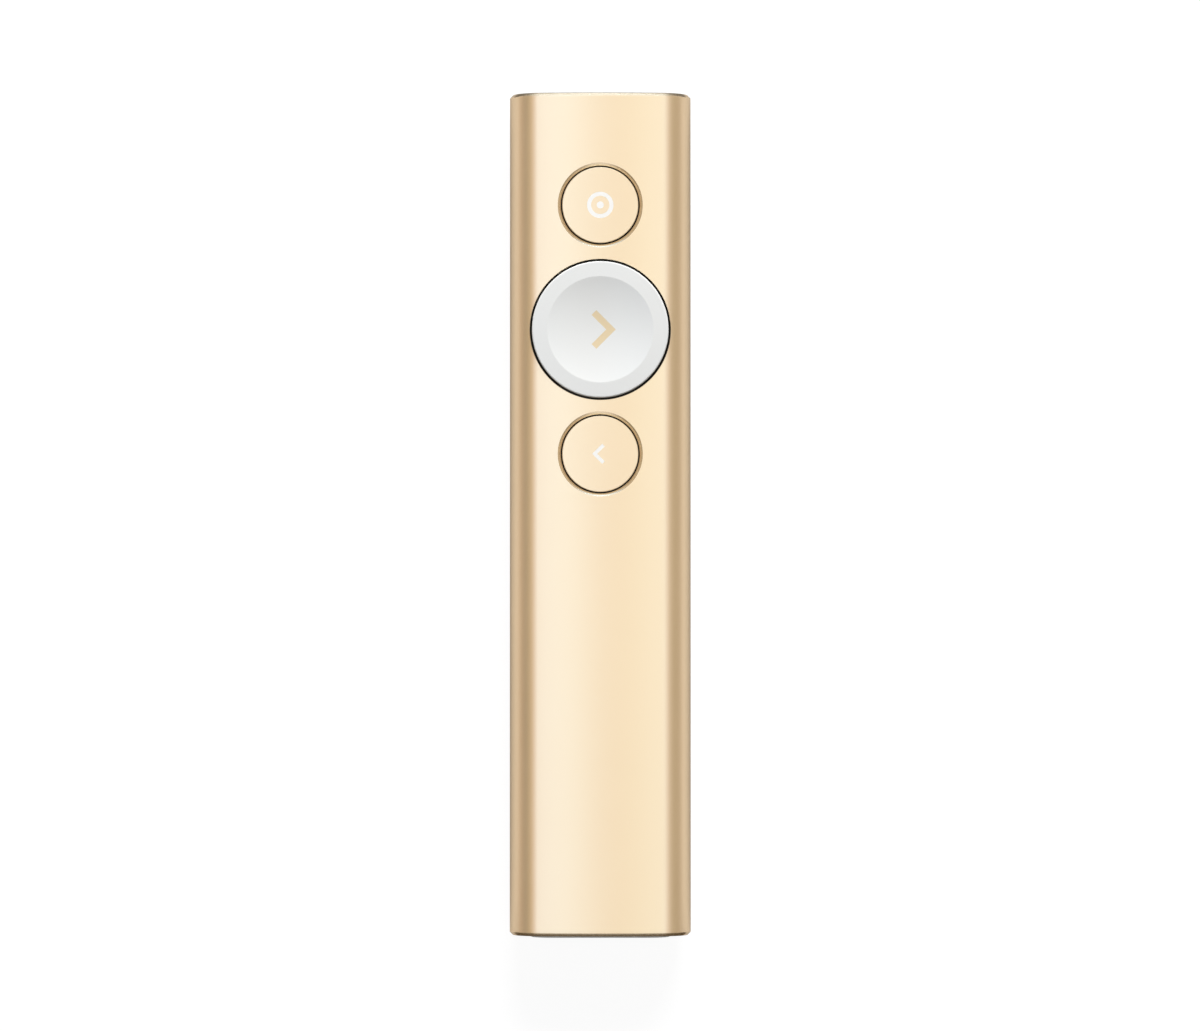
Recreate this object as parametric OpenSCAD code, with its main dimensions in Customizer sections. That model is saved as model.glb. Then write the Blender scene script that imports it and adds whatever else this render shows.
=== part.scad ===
// Handheld wireless presentation clicker.
// It lies on its flat back: X is across, +Y points to the pointer-button end, +Z is up out of the
// buttons, and the origin is under the middle of the whole, in the plane of the back.

/* [Body] */
// Length of the aluminium body
body_l = 131; // [128:0.5:150]
// Width of the body
body_w = 28.2; // [27.6:0.1:34]
// Height of the body at the middle of its front face
body_h = 12; // [12:0.1:15]
// Wall of the body
wall = 1.2; // [0.9:0.05:1.25]
// Radius of the shallow crown across the front face
crown_r = 64; // [58:1:120]
// Radius between the front face and the sides
shoulder_r = 5.2; // [4.6:0.1:5.6]
// Radius between the back and the sides
heel_r = 4.2; // [3.4:0.1:4.6]
// Chamfer round both ends of the body
end_chamfer = 0.5; // [0.2:0.05:0.8]

/* [Buttons] */
// Front end of the body to the middle of the pointer button
pointer_from_front = 17.55; // [16.5:0.05:18.5]
// Spacing of the three buttons
button_pitch = 19.325; // [18.8:0.025:19.8]
// Diameter of the pointer and back caps
small_cap_d = 11.8; // [10:0.05:12.2]
// Gap round the pointer and back caps
small_gap = 0.25; // [0.1:0.05:0.3]
// Width of the chamfer round the pointer and back holes
rim_w = 0.45; // [0.2:0.05:0.7]
// Depth of that chamfer
rim_depth = 0.7; // [0.3:0.05:0.8]
// Crown radius across the pointer and back caps
cap_crown_r = 95; // [70:1:200]
// Diameter of the next cap
next_cap_d = 21.2; // [18:0.1:21.4]
// Gap round the next cap
next_gap = 0.35; // [0.1:0.05:0.4]
// Height of the next cap's rim above the crown of the body
next_proud = 0.1; // [0.05:0.05:0.4]
// Diameter of the dish in the next cap
dish_d = 16.5; // [12:0.1:17]
// Depth of that dish
dish_depth = 0.7; // [0.3:0.05:0.9]
// How far a button travels
travel = 0.45; // [0.2:0.05:0.6]

/* [Signs] */
// Depth of the signs let into the caps
sign_depth = 0.6; // [0.5:0.05:0.7]
// Outer diameter of the ring on the pointer cap
ring_d = 4.1; // [3:0.1:6]
// Width of that ring
ring_w = 0.63; // [0.3:0.01:1]
// Diameter of the dot inside the ring
dot_d = 1.1; // [0.6:0.1:1.5]
// Length of an arm of the next cap's chevron
next_arm = 4.26; // [3:0.01:5.5]
// Width of that arm
next_stroke = 1.05; // [0.6:0.01:1.4]
// Middle of the next cap to the chevron's tip
next_tip = 2.4; // [1.5:0.1:3]
// Length of an arm of the back cap's chevron
back_arm = 2.2; // [1.6:0.01:3]
// Width of that arm
back_stroke = 0.55; // [0.3:0.01:0.8]
// Middle of the back cap to the chevron's tip
back_tip = 1.25; // [0.8:0.05:1.8]

/* [Receiver] */
// Width of the receiver's head
head_w = 21.9; // [21.6:0.1:22.6]
// Height of that head
head_h = 7.4; // [6.9:0.1:7.6]
// Thickness of that head
head_t = 3; // [2.2:0.1:4]
// How far the head stands out of the body's tail end
tail_proud = 0.3; // [0.1:0.05:1]
// Gap round the head in its pocket
head_gap = 0.1; // [0.05:0.05:0.15]
// Width of the receiver's case behind the head
case_w = 15.6; // [13:0.1:15.8]
// Height of that case
case_h = 6.2; // [5.4:0.1:6.3]
// Length of that case
case_l = 8.4; // [5:0.1:9]
// Width of the receiver's plug
plug_w = 12; // [11.9:0.05:12.1]
// Height of that plug
plug_h = 4.5; // [4.4:0.05:4.6]
// Length of that plug out of its case
plug_l = 12; // [11.5:0.1:12.2]
// Gap between the receiver and the walls of its bay
bay_gap = 0.2; // [0.1:0.05:0.25]

/* [Charging port] */
// Width of the charging port's shell
port_w = 8.94; // [8.8:0.02:9.2]
// Height of that shell
port_h = 3.2; // [3.1:0.02:3.3]
// Length of that shell
port_l = 7.35; // [6.5:0.05:8]
// Stowed plug's tip to the mouth of the charging port
port_gap = 4.8; // [4.5:0.1:6]

/* [Inside] */
// Wall of the tray that carries the board
tray_wall = 0.9; // [0.7:0.05:1]
// Height of the tray's sides above its floor
tray_side = 4.8; // [3:0.1:5.2]
// Height of the tray's ribs under the board
board_lift = 1.45; // [1.3:0.05:1.5]
// Thickness of the board
board_t = 0.8; // [0.6:0.1:1]
// Width of the battery
battery_w = 20; // [14:0.5:20.5]
// Thickness of the foam pads under the battery and the motor
pad_t = 0.2; // [0.1:0.05:0.5]
// Diameter of the vibration motor
motor_d = 8; // [6:0.5:8.4]
// Thickness of the vibration motor
motor_t = 2.7; // [2:0.1:3]
// Side of a switch
switch_w = 4.5; // [3.5:0.1:5]
// Height of a switch's body
switch_h = 2; // [1.6:0.1:2.4]
// Diameter of a switch's plunger
plunger_d = 2.2; // [1.6:0.1:2.6]
// Diameter of the stem under a button
stem_d = 3.2; // [2.6:0.1:3.6]
// Diameter of the pins that keep a button level
pin_d = 1.6; // [1.2:0.1:1.8]
// Thickness of the plate that guides the buttons
frame_t = 0.9; // [0.7:0.05:1.2]
// Thread diameter of the screws
screw_d = 1.4; // [1.2:0.1:1.6]

/* [Hidden] */
$fn = 96;

// Clearances
slide_gap = 0.1; // round the tray in the body
run_gap = 0.05; // round what slides in a guide, on the radius
fit_gap = 0.05; // round a piece that is glued or clipped into a hole
part_gap = 0.15; // between pieces that only pass each other
over = 1; // how far a cutter reaches past what it cuts

// Colours
gold = [0.93, 0.82, 0.64];
dark = [0.13, 0.13, 0.14];
pale_grey = [0.72, 0.72, 0.73];
steel = [0.75, 0.76, 0.78];
copper = [0.85, 0.62, 0.3];

// The body's section: a crown arc, two shoulder arcs, two heel arcs and flats between them.
// A shoulder arc reaches past the crown by seam_lap, so the crown trims it and they run on smoothly.
seam_lap = 0.002;
shoulder_x = body_w / 2 - shoulder_r;
crown_z = body_h - crown_r;
shoulder_z = crown_z + sqrt(pow(crown_r - shoulder_r + seam_lap, 2) - pow(shoulder_x, 2));
heel_x = body_w / 2 - heel_r;

// The point at radius r from the crown's centre on the line through the shoulder's centre
function seam(r) = [shoulder_x, shoulder_z - crown_z] * r / (crown_r - shoulder_r + seam_lap) + [0, crown_z];

// Height of the front face at x, and half the width at height z, for the section moved in by inset
function top_at(x, inset) = let (r = crown_r - inset)
    x < seam(r)[0] ? crown_z + sqrt(r * r - x * x)
        : shoulder_z + sqrt(pow(shoulder_r - inset, 2) - pow(x - shoulder_x, 2));
function half_at(z, inset) =
    z < heel_r ? heel_x + sqrt(pow(heel_r - inset, 2) - pow(heel_r - z, 2))
        : z < shoulder_z ? body_w / 2 - inset
            : shoulder_x + sqrt(pow(shoulder_r - inset, 2) - pow(z - shoulder_z, 2));

// Places along the body, from the tail
tail_end = -(body_l + tail_proud) / 2;
tail_y = tail_end + tail_proud;
front_y = tail_y + body_l;
cap_inset = 0.35; // how far the end caps sit inside the body's ends
tail_cap_y = tail_y + cap_inset;
case_y = tail_end + head_t;
pocket_y = case_y + fit_gap;
pocket_floor = 1;
bay_y = pocket_y + pocket_floor;
plug_y = case_y + case_l;
plug_tip_y = plug_y + plug_l;
port_y = plug_tip_y + port_gap;
bay_end_t = 0.8;
board_y = port_y + bay_end_t + slide_gap;
port_back_y = port_y + port_l;
front_cap_t = 2.5;
front_cap_y = front_y - cap_inset - front_cap_t;
tray_end_y = front_cap_y - fit_gap;
board_end_y = front_cap_y - 1;

// Heights, from the back
tray_z = wall + slide_gap;
tray_floor_z = tray_z + tray_wall;
board_z = tray_floor_z + board_lift;
board_top = board_z + board_t;
port_z = board_top + port_h / 2;

// Buttons
pointer_y = front_y - pointer_from_front;
next_y = pointer_y - button_pitch;
back_y = next_y - button_pitch;
small_hole_r = small_cap_d / 2 + small_gap;
next_hole_r = next_cap_d / 2 + next_gap;
flange_over = 0.7; // how far a button's flange reaches under the body
flange_r = small_hole_r + flange_over;
flange_t = 0.6;
ear_w = 13; // width of the next button's two ears
ear_r = next_hole_r + flange_over;
flange_top = top_at(max(flange_r, ear_w / 2), wall) - part_gap;
flange_z = flange_top - flange_t;
boss_h = 0.45; // height of the boss that carries a small cap
boss_in = 0.35; // how far a boss stays inside its cap's edge
rim_fall = 0.05; // how far the next cap's rim falls from the dish to its edge
next_top = body_h + next_proud;
dish_r = (pow(dish_d / 2, 2) + pow(dish_depth, 2)) / (2 * dish_depth);
dish_z = next_top - dish_depth + dish_r;
edge_round = 0.2; // bevel round a cap's top edge

// Frame that guides the buttons, and the switches under them
frame_top = flange_z - travel - 0.1;
frame_z = frame_top - frame_t;
frame_margin = 0.7;
frame_y = back_y - flange_r - frame_margin;
frame_end_y = pointer_y + flange_r + frame_margin;
frame_half = half_at(frame_top, wall) - part_gap;
skirt_t = 0.8;
sleeve_wall = 1;
sleeve_h = 0.9;
small_pin_x = 0.75 * small_cap_d / 2;
next_pin_x = 0.7 * next_cap_d / 2;
plunger_top = board_top + switch_h + travel + 0.05;
plunger_in = 0.7; // how deep a plunger sits in its switch at rest
screw_head_d = 2.4;
screw_head_h = 0.7;
screw_recess = [1.3, 0.3, 0.6]; // one arm of the cross in a screw's head
screw_boss_d = 3.4;
blind = 0.5; // left whole under a blind screw hole
tip_gap = 0.3; // below a screw's tip
screw_x = frame_half - screw_boss_d / 2 - 0.1;
screw_ys = [frame_y + screw_boss_d / 2, frame_end_y - screw_boss_d / 2];

// Board and battery
board_half = half_at(board_z, tray_z + tray_wall) - part_gap;
battery_gap = 0.8; // from the battery to the frame, and to the charging port
battery_y = port_back_y + battery_gap;
battery_end_y = frame_y - battery_gap;
battery_z = board_top + pad_t;
battery_top = top_at(battery_w / 2, wall) - 0.4;
pad_in = 2; // how far the foam pad stays inside the battery's ends and sides
chips_y = (back_y + next_y) / 2;
chips_gap = 0.7; // from the middle of the board to the shield, and to the motor
sensor_y = (next_y + pointer_y) / 2;
front_row_y = frame_end_y + 2; // row of small parts ahead of the frame, and the rib under it
led = [3, 1, 1.2];
led_y = board_end_y - led[1] - 0.1;
lens_w = 5;
lens_h = 1.4;
lens_z = board_top + led[2] / 2;

// ---- shapes shared by several pieces ----

// Extrudes an outline, drawn as seen along +Y, from y0 to y1
module along(y0, y1) {
    translate([0, y1, 0]) rotate([90, 0, 0]) linear_extrude(y1 - y0) children();
}

// The body's section moved in by inset
module section(inset) {
    side = body_w / 2 - inset;
    meet = seam(crown_r - inset);
    right = [[heel_x, inset], [side, heel_r], [side, shoulder_z], meet, [meet[0], body_h + over]];
    left = [for (i = [4:-1:0]) [-right[i][0], right[i][1]]];
    intersection() {
        translate([0, crown_z]) circle(crown_r - inset, $fn = 360);
        union() {
            for (s = [-1, 1]) {
                translate([s * shoulder_x, shoulder_z]) circle(shoulder_r - inset);
                translate([s * heel_x, heel_r]) circle(heel_r - inset);
            }
            polygon(concat(right, left));
        }
    }
}

// A rod along the body with both ends chamfered
module chamfered_rod(x, z, r) {
    translate([x, tail_y, z]) rotate([-90, 0, 0]) {
        cylinder(r1 = r - end_chamfer, r2 = r, h = end_chamfer);
        translate([0, 0, end_chamfer]) cylinder(r = r, h = body_l - 2 * end_chamfer);
        translate([0, 0, body_l - end_chamfer]) cylinder(r1 = r, r2 = r - end_chamfer, h = end_chamfer);
    }
}

// The body's outer form: the crown's rod trims the shoulders', and the heels' lie on two slabs
module body_form() {
    centre = [shoulder_x, shoulder_z];
    tip = seam(crown_r + over);
    y0 = tail_y - over;
    y1 = front_y + over;
    c = end_chamfer;
    w = body_w / 2;
    intersection() {
        chamfered_rod(0, crown_z, crown_r, $fn = 360);
        union() {
            along(y0, y1) polygon([[-centre[0], centre[1]], centre, tip, [-tip[0], tip[1]]]);
            for (s = [0, 1]) mirror([s, 0, 0]) intersection() {
                chamfered_rod(centre[0], centre[1], shoulder_r);
                along(y0, y1) polygon([centre, [body_w, centre[1]], [body_w, tip[1]], tip]);
            }
        }
    }
    for (s = [0, 1]) mirror([s, 0, 0]) intersection() {
        chamfered_rod(heel_x, heel_r, heel_r);
        along(y0, y1) translate([heel_x, -over]) square([body_w, heel_r + over]);
    }
    translate([-heel_x, tail_y, 0]) rotate([90, 0, 90]) linear_extrude(2 * heel_x)
        polygon([[c, 0], [body_l - c, 0], [body_l, c], [body_l, shoulder_z], [0, shoulder_z], [0, c]]);
    translate([0, tail_y, heel_r]) linear_extrude(shoulder_z - heel_r)
        polygon([[c - w, 0], [w - c, 0], [w, c], [w, body_l - c],
            [w - c, body_l], [c - w, body_l], [-w, body_l - c], [-w, c]]);
}

// An outline w wide and h high with round ends, centred
module slot_2d(w, h) {
    square([w - h, h], center = true);
    for (s = [-1, 1]) translate([s * (w - h) / 2, 0]) circle(h / 2);
}

// An outline w wide and h high with corners of radius r, centred
module round_2d(w, h, r) {
    square([w - 2 * r, h], center = true);
    square([w, h - 2 * r], center = true);
    for (x = [-1, 1], z = [-1, 1]) translate([x * (w / 2 - r), z * (h / 2 - r)]) circle(r);
}

// A box given by its middle in x, its start in y and its start in z
module block(x, y, z, size) {
    translate([x - size[0] / 2, y, z]) cube(size);
}

// An upright cylinder from z0 to z1
module post(x, y, z0, z1, d) {
    translate([x, y, z0]) cylinder(d = d, h = z1 - z0);
}

// A chevron that points to +X, with its tip at the origin
module chevron_2d(arm, stroke) {
    a = arm / sqrt(2);
    t = stroke / sqrt(2);
    polygon([[0, 0], [-a, a], [-a - t, a - t], [-2 * t, 0], [-a - t, t - a], [-a, -a]]);
}

// A cap screw along +Z, head down to its seat at the origin, with a cross recess
module screw(length) {
    difference() {
        union() {
            translate([0, 0, -screw_head_h]) cylinder(d = screw_head_d, h = screw_head_h);
            cylinder(d = screw_d, h = length);
        }
        for (a = [0, 90]) rotate(a) translate([0, 0, -screw_head_h])
            cube(screw_recess, center = true);
    }
}

// ---- body and end caps ----

module body_shell() {
    color(gold) difference() {
        body_form();
        along(tail_y - over, front_y + over) section(wall);
        for (y = [pointer_y, back_y]) {
            post(0, y, shoulder_z, body_h + over, 2 * small_hole_r);
            rim_h = rim_depth + over;
            translate([0, y, body_h - rim_depth])
                cylinder(r1 = small_hole_r, r2 = small_hole_r + rim_w * rim_h / rim_depth, h = rim_h);
        }
        post(0, next_y, shoulder_z, body_h + over, 2 * next_hole_r);
    }
}

module front_cap() {
    color(pale_grey) difference() {
        along(front_cap_y, front_y - cap_inset) section(wall + fit_gap);
        along(front_cap_y - over, front_y) translate([0, lens_z]) slot_2d(lens_w, lens_h);
    }
}

module light_pipe() {
    color([0.9, 0.95, 1]) along(led_y + led[1] + fit_gap, front_y - cap_inset)
        translate([0, lens_z]) slot_2d(lens_w, lens_h);
}

lug_x = (case_w / 2 + bay_gap + head_w / 2) / 2; // screws of the tail cap
lug_d = 3.2;
lug_l = 4.6;

module tail_cap() {
    color(pale_grey) difference() {
        along(tail_cap_y, bay_y) section(wall + fit_gap);
        along(tail_cap_y - over, pocket_y) translate([0, port_z])
            slot_2d(head_w + 2 * head_gap, head_h + 2 * head_gap);
        along(pocket_y - over, bay_y + over) translate([0, port_z])
            square([case_w, case_h] + [2, 2] * bay_gap, center = true);
        for (s = [-1, 1]) translate([s * lug_x, pocket_y, port_z]) rotate([-90, 0, 0]) {
            translate([0, 0, -over]) cylinder(d = screw_head_d, h = over + screw_head_h);
            cylinder(d = screw_d, h = pocket_floor + over);
        }
    }
}

module tail_screws() {
    length = pocket_floor - screw_head_h + lug_l - blind - tip_gap;
    color(steel) for (s = [-1, 1])
        translate([s * lug_x, pocket_y + screw_head_h, port_z]) rotate([-90, 0, 0]) screw(length);
}

bay_wall = 0.6;
bay_in = [case_w, case_h] + [2, 2] * bay_gap;
bay_tongue_w = 12; // tongue of the bay that slides between the tray and the board
bay_tongue_l = 4;

module receiver_bay() {
    end_y = port_y + bay_end_t;
    color(dark) difference() {
        union() {
            along(bay_y, end_y) translate([0, port_z]) square(bay_in + [2, 2] * bay_wall, center = true);
            for (s = [-1, 1]) {
                along(bay_y, bay_y + lug_l) translate([s * lug_x, port_z]) circle(d = lug_d);
                block(s * (lug_x + bay_in[0] / 2) / 2, bay_y, port_z - lug_d / 2,
                    [lug_x - bay_in[0] / 2, lug_l, lug_d]);
            }
            block(0, port_y, tray_floor_z, [bay_tongue_w, bay_end_t + bay_tongue_l, board_lift - fit_gap]);
        }
        along(bay_y - over, port_y) translate([0, port_z]) square(bay_in, center = true);
        along(port_y - over, end_y + over) translate([0, port_z])
            slot_2d(port_w + 2 * fit_gap, port_h + 2 * fit_gap);
        for (s = [-1, 1]) translate([s * lug_x, bay_y - over, port_z]) rotate([-90, 0, 0])
            cylinder(d = screw_d, h = over + lug_l - blind);
    }
}

// ---- receiver that stows in the tail ----

plug_skin = 0.3;
plug_seat = 3; // how far the plug's shell reaches into the case
case_round = 0.8;
nail_d = 1.4; // groove for a fingernail
nail_l = 11;
receiver_board_t = 0.8;
receiver_chip = [4, 4, 0.9];

module receiver_case() {
    color(pale_grey) difference() {
        union() {
            along(tail_end, case_y) translate([0, port_z]) slot_2d(head_w, head_h);
            along(case_y, plug_y) translate([0, port_z]) round_2d(case_w, case_h, case_round);
        }
        along(case_y, plug_y + over) translate([0, port_z]) square([plug_w, plug_h], center = true);
        // A groove across the head for a fingernail
        translate([0, tail_end, port_z - head_h / 4]) rotate([0, 90, 0])
            cylinder(d = nail_d, h = nail_l, center = true);
    }
}

module receiver_board() {
    z = port_z - plug_h / 2;
    l = case_l - plug_seat - fit_gap;
    color([0.1, 0.3, 0.2]) {
        block(0, case_y, z, [plug_w - 2 * part_gap, l, receiver_board_t]);
        block(0, case_y + (l - receiver_chip[1]) / 2, z, receiver_chip + [0, 0, receiver_board_t]);
    }
}

latch = [2.1, 2, 2 * plug_h]; // windows that a socket's springs catch
latch_x = 2.25;
latch_in = 6.8; // from the plug's tip to a window's far edge

module receiver_plug_shell() {
    color(steel) difference() {
        along(plug_y - plug_seat, plug_tip_y) translate([0, port_z]) square([plug_w, plug_h], center = true);
        along(plug_y - plug_seat - over, plug_tip_y + over) translate([0, port_z])
            square([plug_w, plug_h] - [2, 2] * plug_skin, center = true);
        for (s = [-1, 1]) block(s * latch_x, plug_tip_y - latch_in, port_z - plug_h, latch);
    }
}

tongue_t = 1.9;
tongue_in = 0.4; // from the plug's mouth to its tongue
contact_w = 1;
contact_t = 0.15;
contacts = [[1, 3.2], [3.5, 2.2]]; // place across, and distance from the plug's mouth
contact_back = 1; // how far the contacts stop short of the tongue's inner end

module receiver_tongue() {
    color(dark) along(plug_y - plug_seat, plug_tip_y - tongue_in)
        translate([0, port_z - (plug_h - tongue_t) / 2 + plug_skin])
            square([plug_w - 2 * plug_skin - 2 * fit_gap, tongue_t], center = true);
}

module receiver_contacts() {
    y = plug_y - plug_seat + contact_back;
    z = port_z - plug_h / 2 + plug_skin + tongue_t;
    color(copper) for (s = [-1, 1], c = contacts)
        block(s * c[0], y, z, [contact_w, plug_tip_y - c[1] - y, contact_t]);
}

// ---- charging port at the inner end of the bay ----

port_skin = 0.3;
port_back_t = 1.6;
port_tongue = [6.7, 0.7];
port_tongue_in = 0.8; // from the port's mouth to its tongue

module charge_port_shell() {
    color(steel) difference() {
        along(port_y, port_back_y) translate([0, port_z]) slot_2d(port_w, port_h);
        along(port_y - over, port_back_y + over) translate([0, port_z])
            slot_2d(port_w - 2 * port_skin, port_h - 2 * port_skin);
    }
}

module charge_port_tongue() {
    color(dark) {
        along(port_back_y - port_back_t, port_back_y) translate([0, port_z])
            slot_2d(port_w - 2 * port_skin, port_h - 2 * port_skin);
        along(port_y + port_tongue_in, port_back_y) translate([0, port_z]) square(port_tongue, center = true);
    }
}

// ---- tray, board and what is on the board ----

rib_t = 0.9;
rib_x = board_half - rib_t;
rib_y = board_y + bay_tongue_l + 1;

module inner_tray() {
    color(dark) difference() {
        union() {
            intersection() {
                along(board_y, tray_end_y) difference() {
                    section(tray_z);
                    section(tray_z + tray_wall);
                }
                block(0, board_y - over, 0, [body_w, body_l, tray_floor_z + tray_side]);
            }
            for (s = [-1, 1]) block(s * rib_x, rib_y, tray_floor_z, [rib_t, board_end_y - rib_y, board_lift]);
            for (y = [battery_y, battery_end_y, chips_y, sensor_y, front_row_y])
                block(0, y, tray_floor_z, [2 * rib_x, rib_t, board_lift]);
            for (s = [-1, 1], y = screw_ys) post(s * screw_x, y, tray_floor_z, board_z, screw_boss_d);
        }
        for (s = [-1, 1], y = screw_ys) post(s * screw_x, y, tray_z + blind, board_z + over, screw_d);
    }
}

module main_board() {
    color([0.06, 0.2, 0.12]) difference() {
        translate([-board_half, board_y, board_z]) cube([2 * board_half, board_end_y - board_y, board_t]);
        for (s = [-1, 1], y = screw_ys)
            post(s * screw_x, y, board_z - over, board_top + over, screw_d + 2 * part_gap);
    }
}

small_part = [0.8, 1.6, 0.7];

// Small capacitors and resistors in three rows: by the motion sensor, the charging port and the antenna.
// A row's parts are spread evenly from x0 to x1.
module board_parts() {
    rows = [[0, board_half - rib_t, sensor_y - small_part[1] / 2, 6],
        [-board_half, -port_w / 2, lead_plug_y, 4],
        [0, board_half * 2 / 3, front_row_y, 4]];
    color([0.62, 0.55, 0.45]) for (row = rows, i = [0 : row[3] - 1]) {
        x0 = row[0];
        x1 = row[1];
        block(x0 + (x1 - x0) * (i + 0.5) / row[3], row[2], board_top, small_part);
    }
}

module battery() {
    color([0.55, 0.57, 0.6]) along(battery_y, battery_end_y)
        translate([0, (battery_z + battery_top) / 2]) round_2d(battery_w, battery_top - battery_z, 0.8);
}

module battery_pad() {
    color(dark) block(0, battery_y + pad_in, board_top,
        [battery_w - 2 * pad_in, battery_end_y - battery_y - 2 * pad_in, pad_t]);
}

lead_d = 0.8;
lead_l = 1.4;
lead_x = (board_half + port_w / 2) / 2; // middle of the battery's plug
lead_pitch = 1.6;
lead_plug = [4, 3.2, 2.3];
lead_plug_y = battery_y - lead_l - lead_plug[1];
lead_z = battery_z + 1.2;

module battery_leads() {
    color([0.7, 0.1, 0.1]) along(battery_y - lead_l, battery_y)
        for (s = [-1, 1]) translate([lead_x + s * lead_pitch / 2, lead_z]) circle(d = lead_d);
}

module battery_plug() {
    color([0.9, 0.88, 0.8]) block(lead_x, lead_plug_y, board_top, lead_plug);
}

motor_x = motor_d / 2 + chips_gap;

module motor_pad() {
    color(dark) post(motor_x, chips_y, board_top, board_top + pad_t, motor_d - 1);
}

module vibration_motor() {
    z = board_top + pad_t;
    color(steel) post(motor_x, chips_y, z, z + motor_t, motor_d);
}

shield = [8.5, 8.5, 1.7];
shield_x = -chips_gap - shield[0] / 2;
shield_skin = 0.2;
chip = [5, 5, 0.85];

module radio_shield() {
    color(steel) difference() {
        block(shield_x, chips_y - shield[1] / 2, board_top, shield);
        block(shield_x, chips_y - shield[1] / 2 + shield_skin, board_top - over,
            shield - [2, 2, 0] * shield_skin + [0, 0, over - shield_skin]);
    }
}

module processor() {
    color(dark) block(shield_x, chips_y - chip[1] / 2, board_top, chip);
}

sensor = [3, 3, 0.9];
sensor_x = -board_half / 2;

module motion_sensor() {
    color(dark) block(sensor_x, sensor_y - sensor[1] / 2, board_top, sensor);
}

aerial = [7, 2, 0.8];
aerial_x = -board_half / 2;
aerial_in = 1; // from the board's front end

module antenna() {
    color([0.9, 0.9, 0.86]) block(aerial_x, board_end_y - aerial_in - aerial[1], board_top, aerial);
}

module status_led() {
    color("white") block(0, led_y, board_top, led);
}

// ---- frame that guides the buttons ----

module button_frame() {
    centres = [[back_y, small_pin_x], [next_y, next_pin_x], [pointer_y, small_pin_x]];
    color(dark) difference() {
        union() {
            translate([-frame_half, frame_y, frame_z]) cube([2 * frame_half, frame_end_y - frame_y, frame_t]);
            for (s = [-1, 1]) block(s * (frame_half - skirt_t / 2), frame_y, board_top,
                [skirt_t, frame_end_y - frame_y, frame_z - board_top]);
            for (s = [-1, 1], y = screw_ys) post(s * screw_x, y, board_top, frame_top, screw_boss_d);
            for (c = centres)
                post(0, c[0], frame_z - sleeve_h, frame_top, stem_d + 2 * run_gap + 2 * sleeve_wall);
        }
        for (c = centres) {
            post(0, c[0], frame_z - sleeve_h - over, frame_top + over, stem_d + 2 * run_gap);
            for (s = [-1, 1]) post(s * c[1], c[0], frame_z - over, frame_top + over, pin_d + 2 * run_gap);
        }
        for (s = [-1, 1], y = screw_ys) {
            post(s * screw_x, y, board_top - over, frame_top + over, screw_d + 2 * run_gap);
            post(s * screw_x, y, frame_top - screw_head_h, frame_top + over, screw_head_d + 2 * run_gap);
        }
    }
}

module frame_screws() {
    color(steel) for (s = [-1, 1], y = screw_ys)
        translate([s * screw_x, y, frame_top - screw_head_h]) rotate([180, 0, 0])
            screw(frame_top - screw_head_h - tray_z - blind - tip_gap);
}

// ---- switches ----

module switch_body(y) {
    bore = plunger_in + travel + 0.1;
    color(dark) difference() {
        block(0, y - switch_w / 2, board_top, [switch_w, switch_w, switch_h]);
        post(0, y, board_top + switch_h - bore, board_top + switch_h + over, plunger_d + 2 * run_gap);
    }
}

module plunger(y) {
    color([0.85, 0.85, 0.82]) post(0, y, board_top + switch_h - plunger_in, plunger_top, plunger_d);
}

// ---- buttons ----

// The stem and the two pins under a button
module button_legs(y, pin_x) {
    post(0, y, plunger_top, flange_z, stem_d);
    for (s = [-1, 1]) post(s * pin_x, y, frame_z, flange_z, pin_d);
}

module small_base(y) {
    color(dark) {
        post(0, y, flange_z, flange_top, 2 * flange_r);
        post(0, y, flange_z, flange_top + boss_h, small_cap_d - 2 * boss_in);
        button_legs(y, small_pin_x);
    }
}

// A disc crowned across the body, with its lower face on the base's boss
module small_cap(y) {
    z0 = flange_top + boss_h;
    intersection() {
        union() {
            post(0, y, z0, body_h - 2 * edge_round, small_cap_d);
            translate([0, y, body_h - 2 * edge_round])
                cylinder(d1 = small_cap_d, d2 = small_cap_d - 2 * edge_round, h = 2 * edge_round);
        }
        translate([0, y, body_h - cap_crown_r]) rotate([90, 0, 0])
            cylinder(r = cap_crown_r, h = 2 * small_cap_d, center = true, $fn = 360);
    }
}

// The outlines of the signs, as seen from above, with the middle of the button at the origin
module pointer_sign_2d() {
    difference() {
        circle(d = ring_d);
        circle(d = ring_d - 2 * ring_w);
    }
    circle(d = dot_d);
}

module next_sign_2d() {
    translate([next_tip, 0]) chevron_2d(next_arm, next_stroke);
}

module back_sign_2d() {
    mirror([1, 0]) translate([back_tip, 0]) chevron_2d(back_arm, back_stroke);
}

// A sign's outline through the top of a small cap
module small_sign_cut(y) {
    translate([0, y, body_h - sign_depth]) linear_extrude(sign_depth + over) children();
}

module next_sign_cut() {
    translate([0, next_y, dish_z - dish_r - sign_depth]) linear_extrude(sign_depth + over) next_sign_2d();
}

module pointer_base() {
    small_base(pointer_y);
}

module pointer_cap() {
    color(gold) difference() {
        small_cap(pointer_y);
        small_sign_cut(pointer_y) pointer_sign_2d();
    }
}

module pointer_sign() {
    color("white") intersection() {
        small_cap(pointer_y);
        small_sign_cut(pointer_y) pointer_sign_2d();
    }
}

module back_base() {
    small_base(back_y);
}

module back_cap() {
    color(gold) difference() {
        small_cap(back_y);
        small_sign_cut(back_y) back_sign_2d();
    }
}

module back_sign() {
    color("white") intersection() {
        small_cap(back_y);
        small_sign_cut(back_y) back_sign_2d();
    }
}

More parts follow.
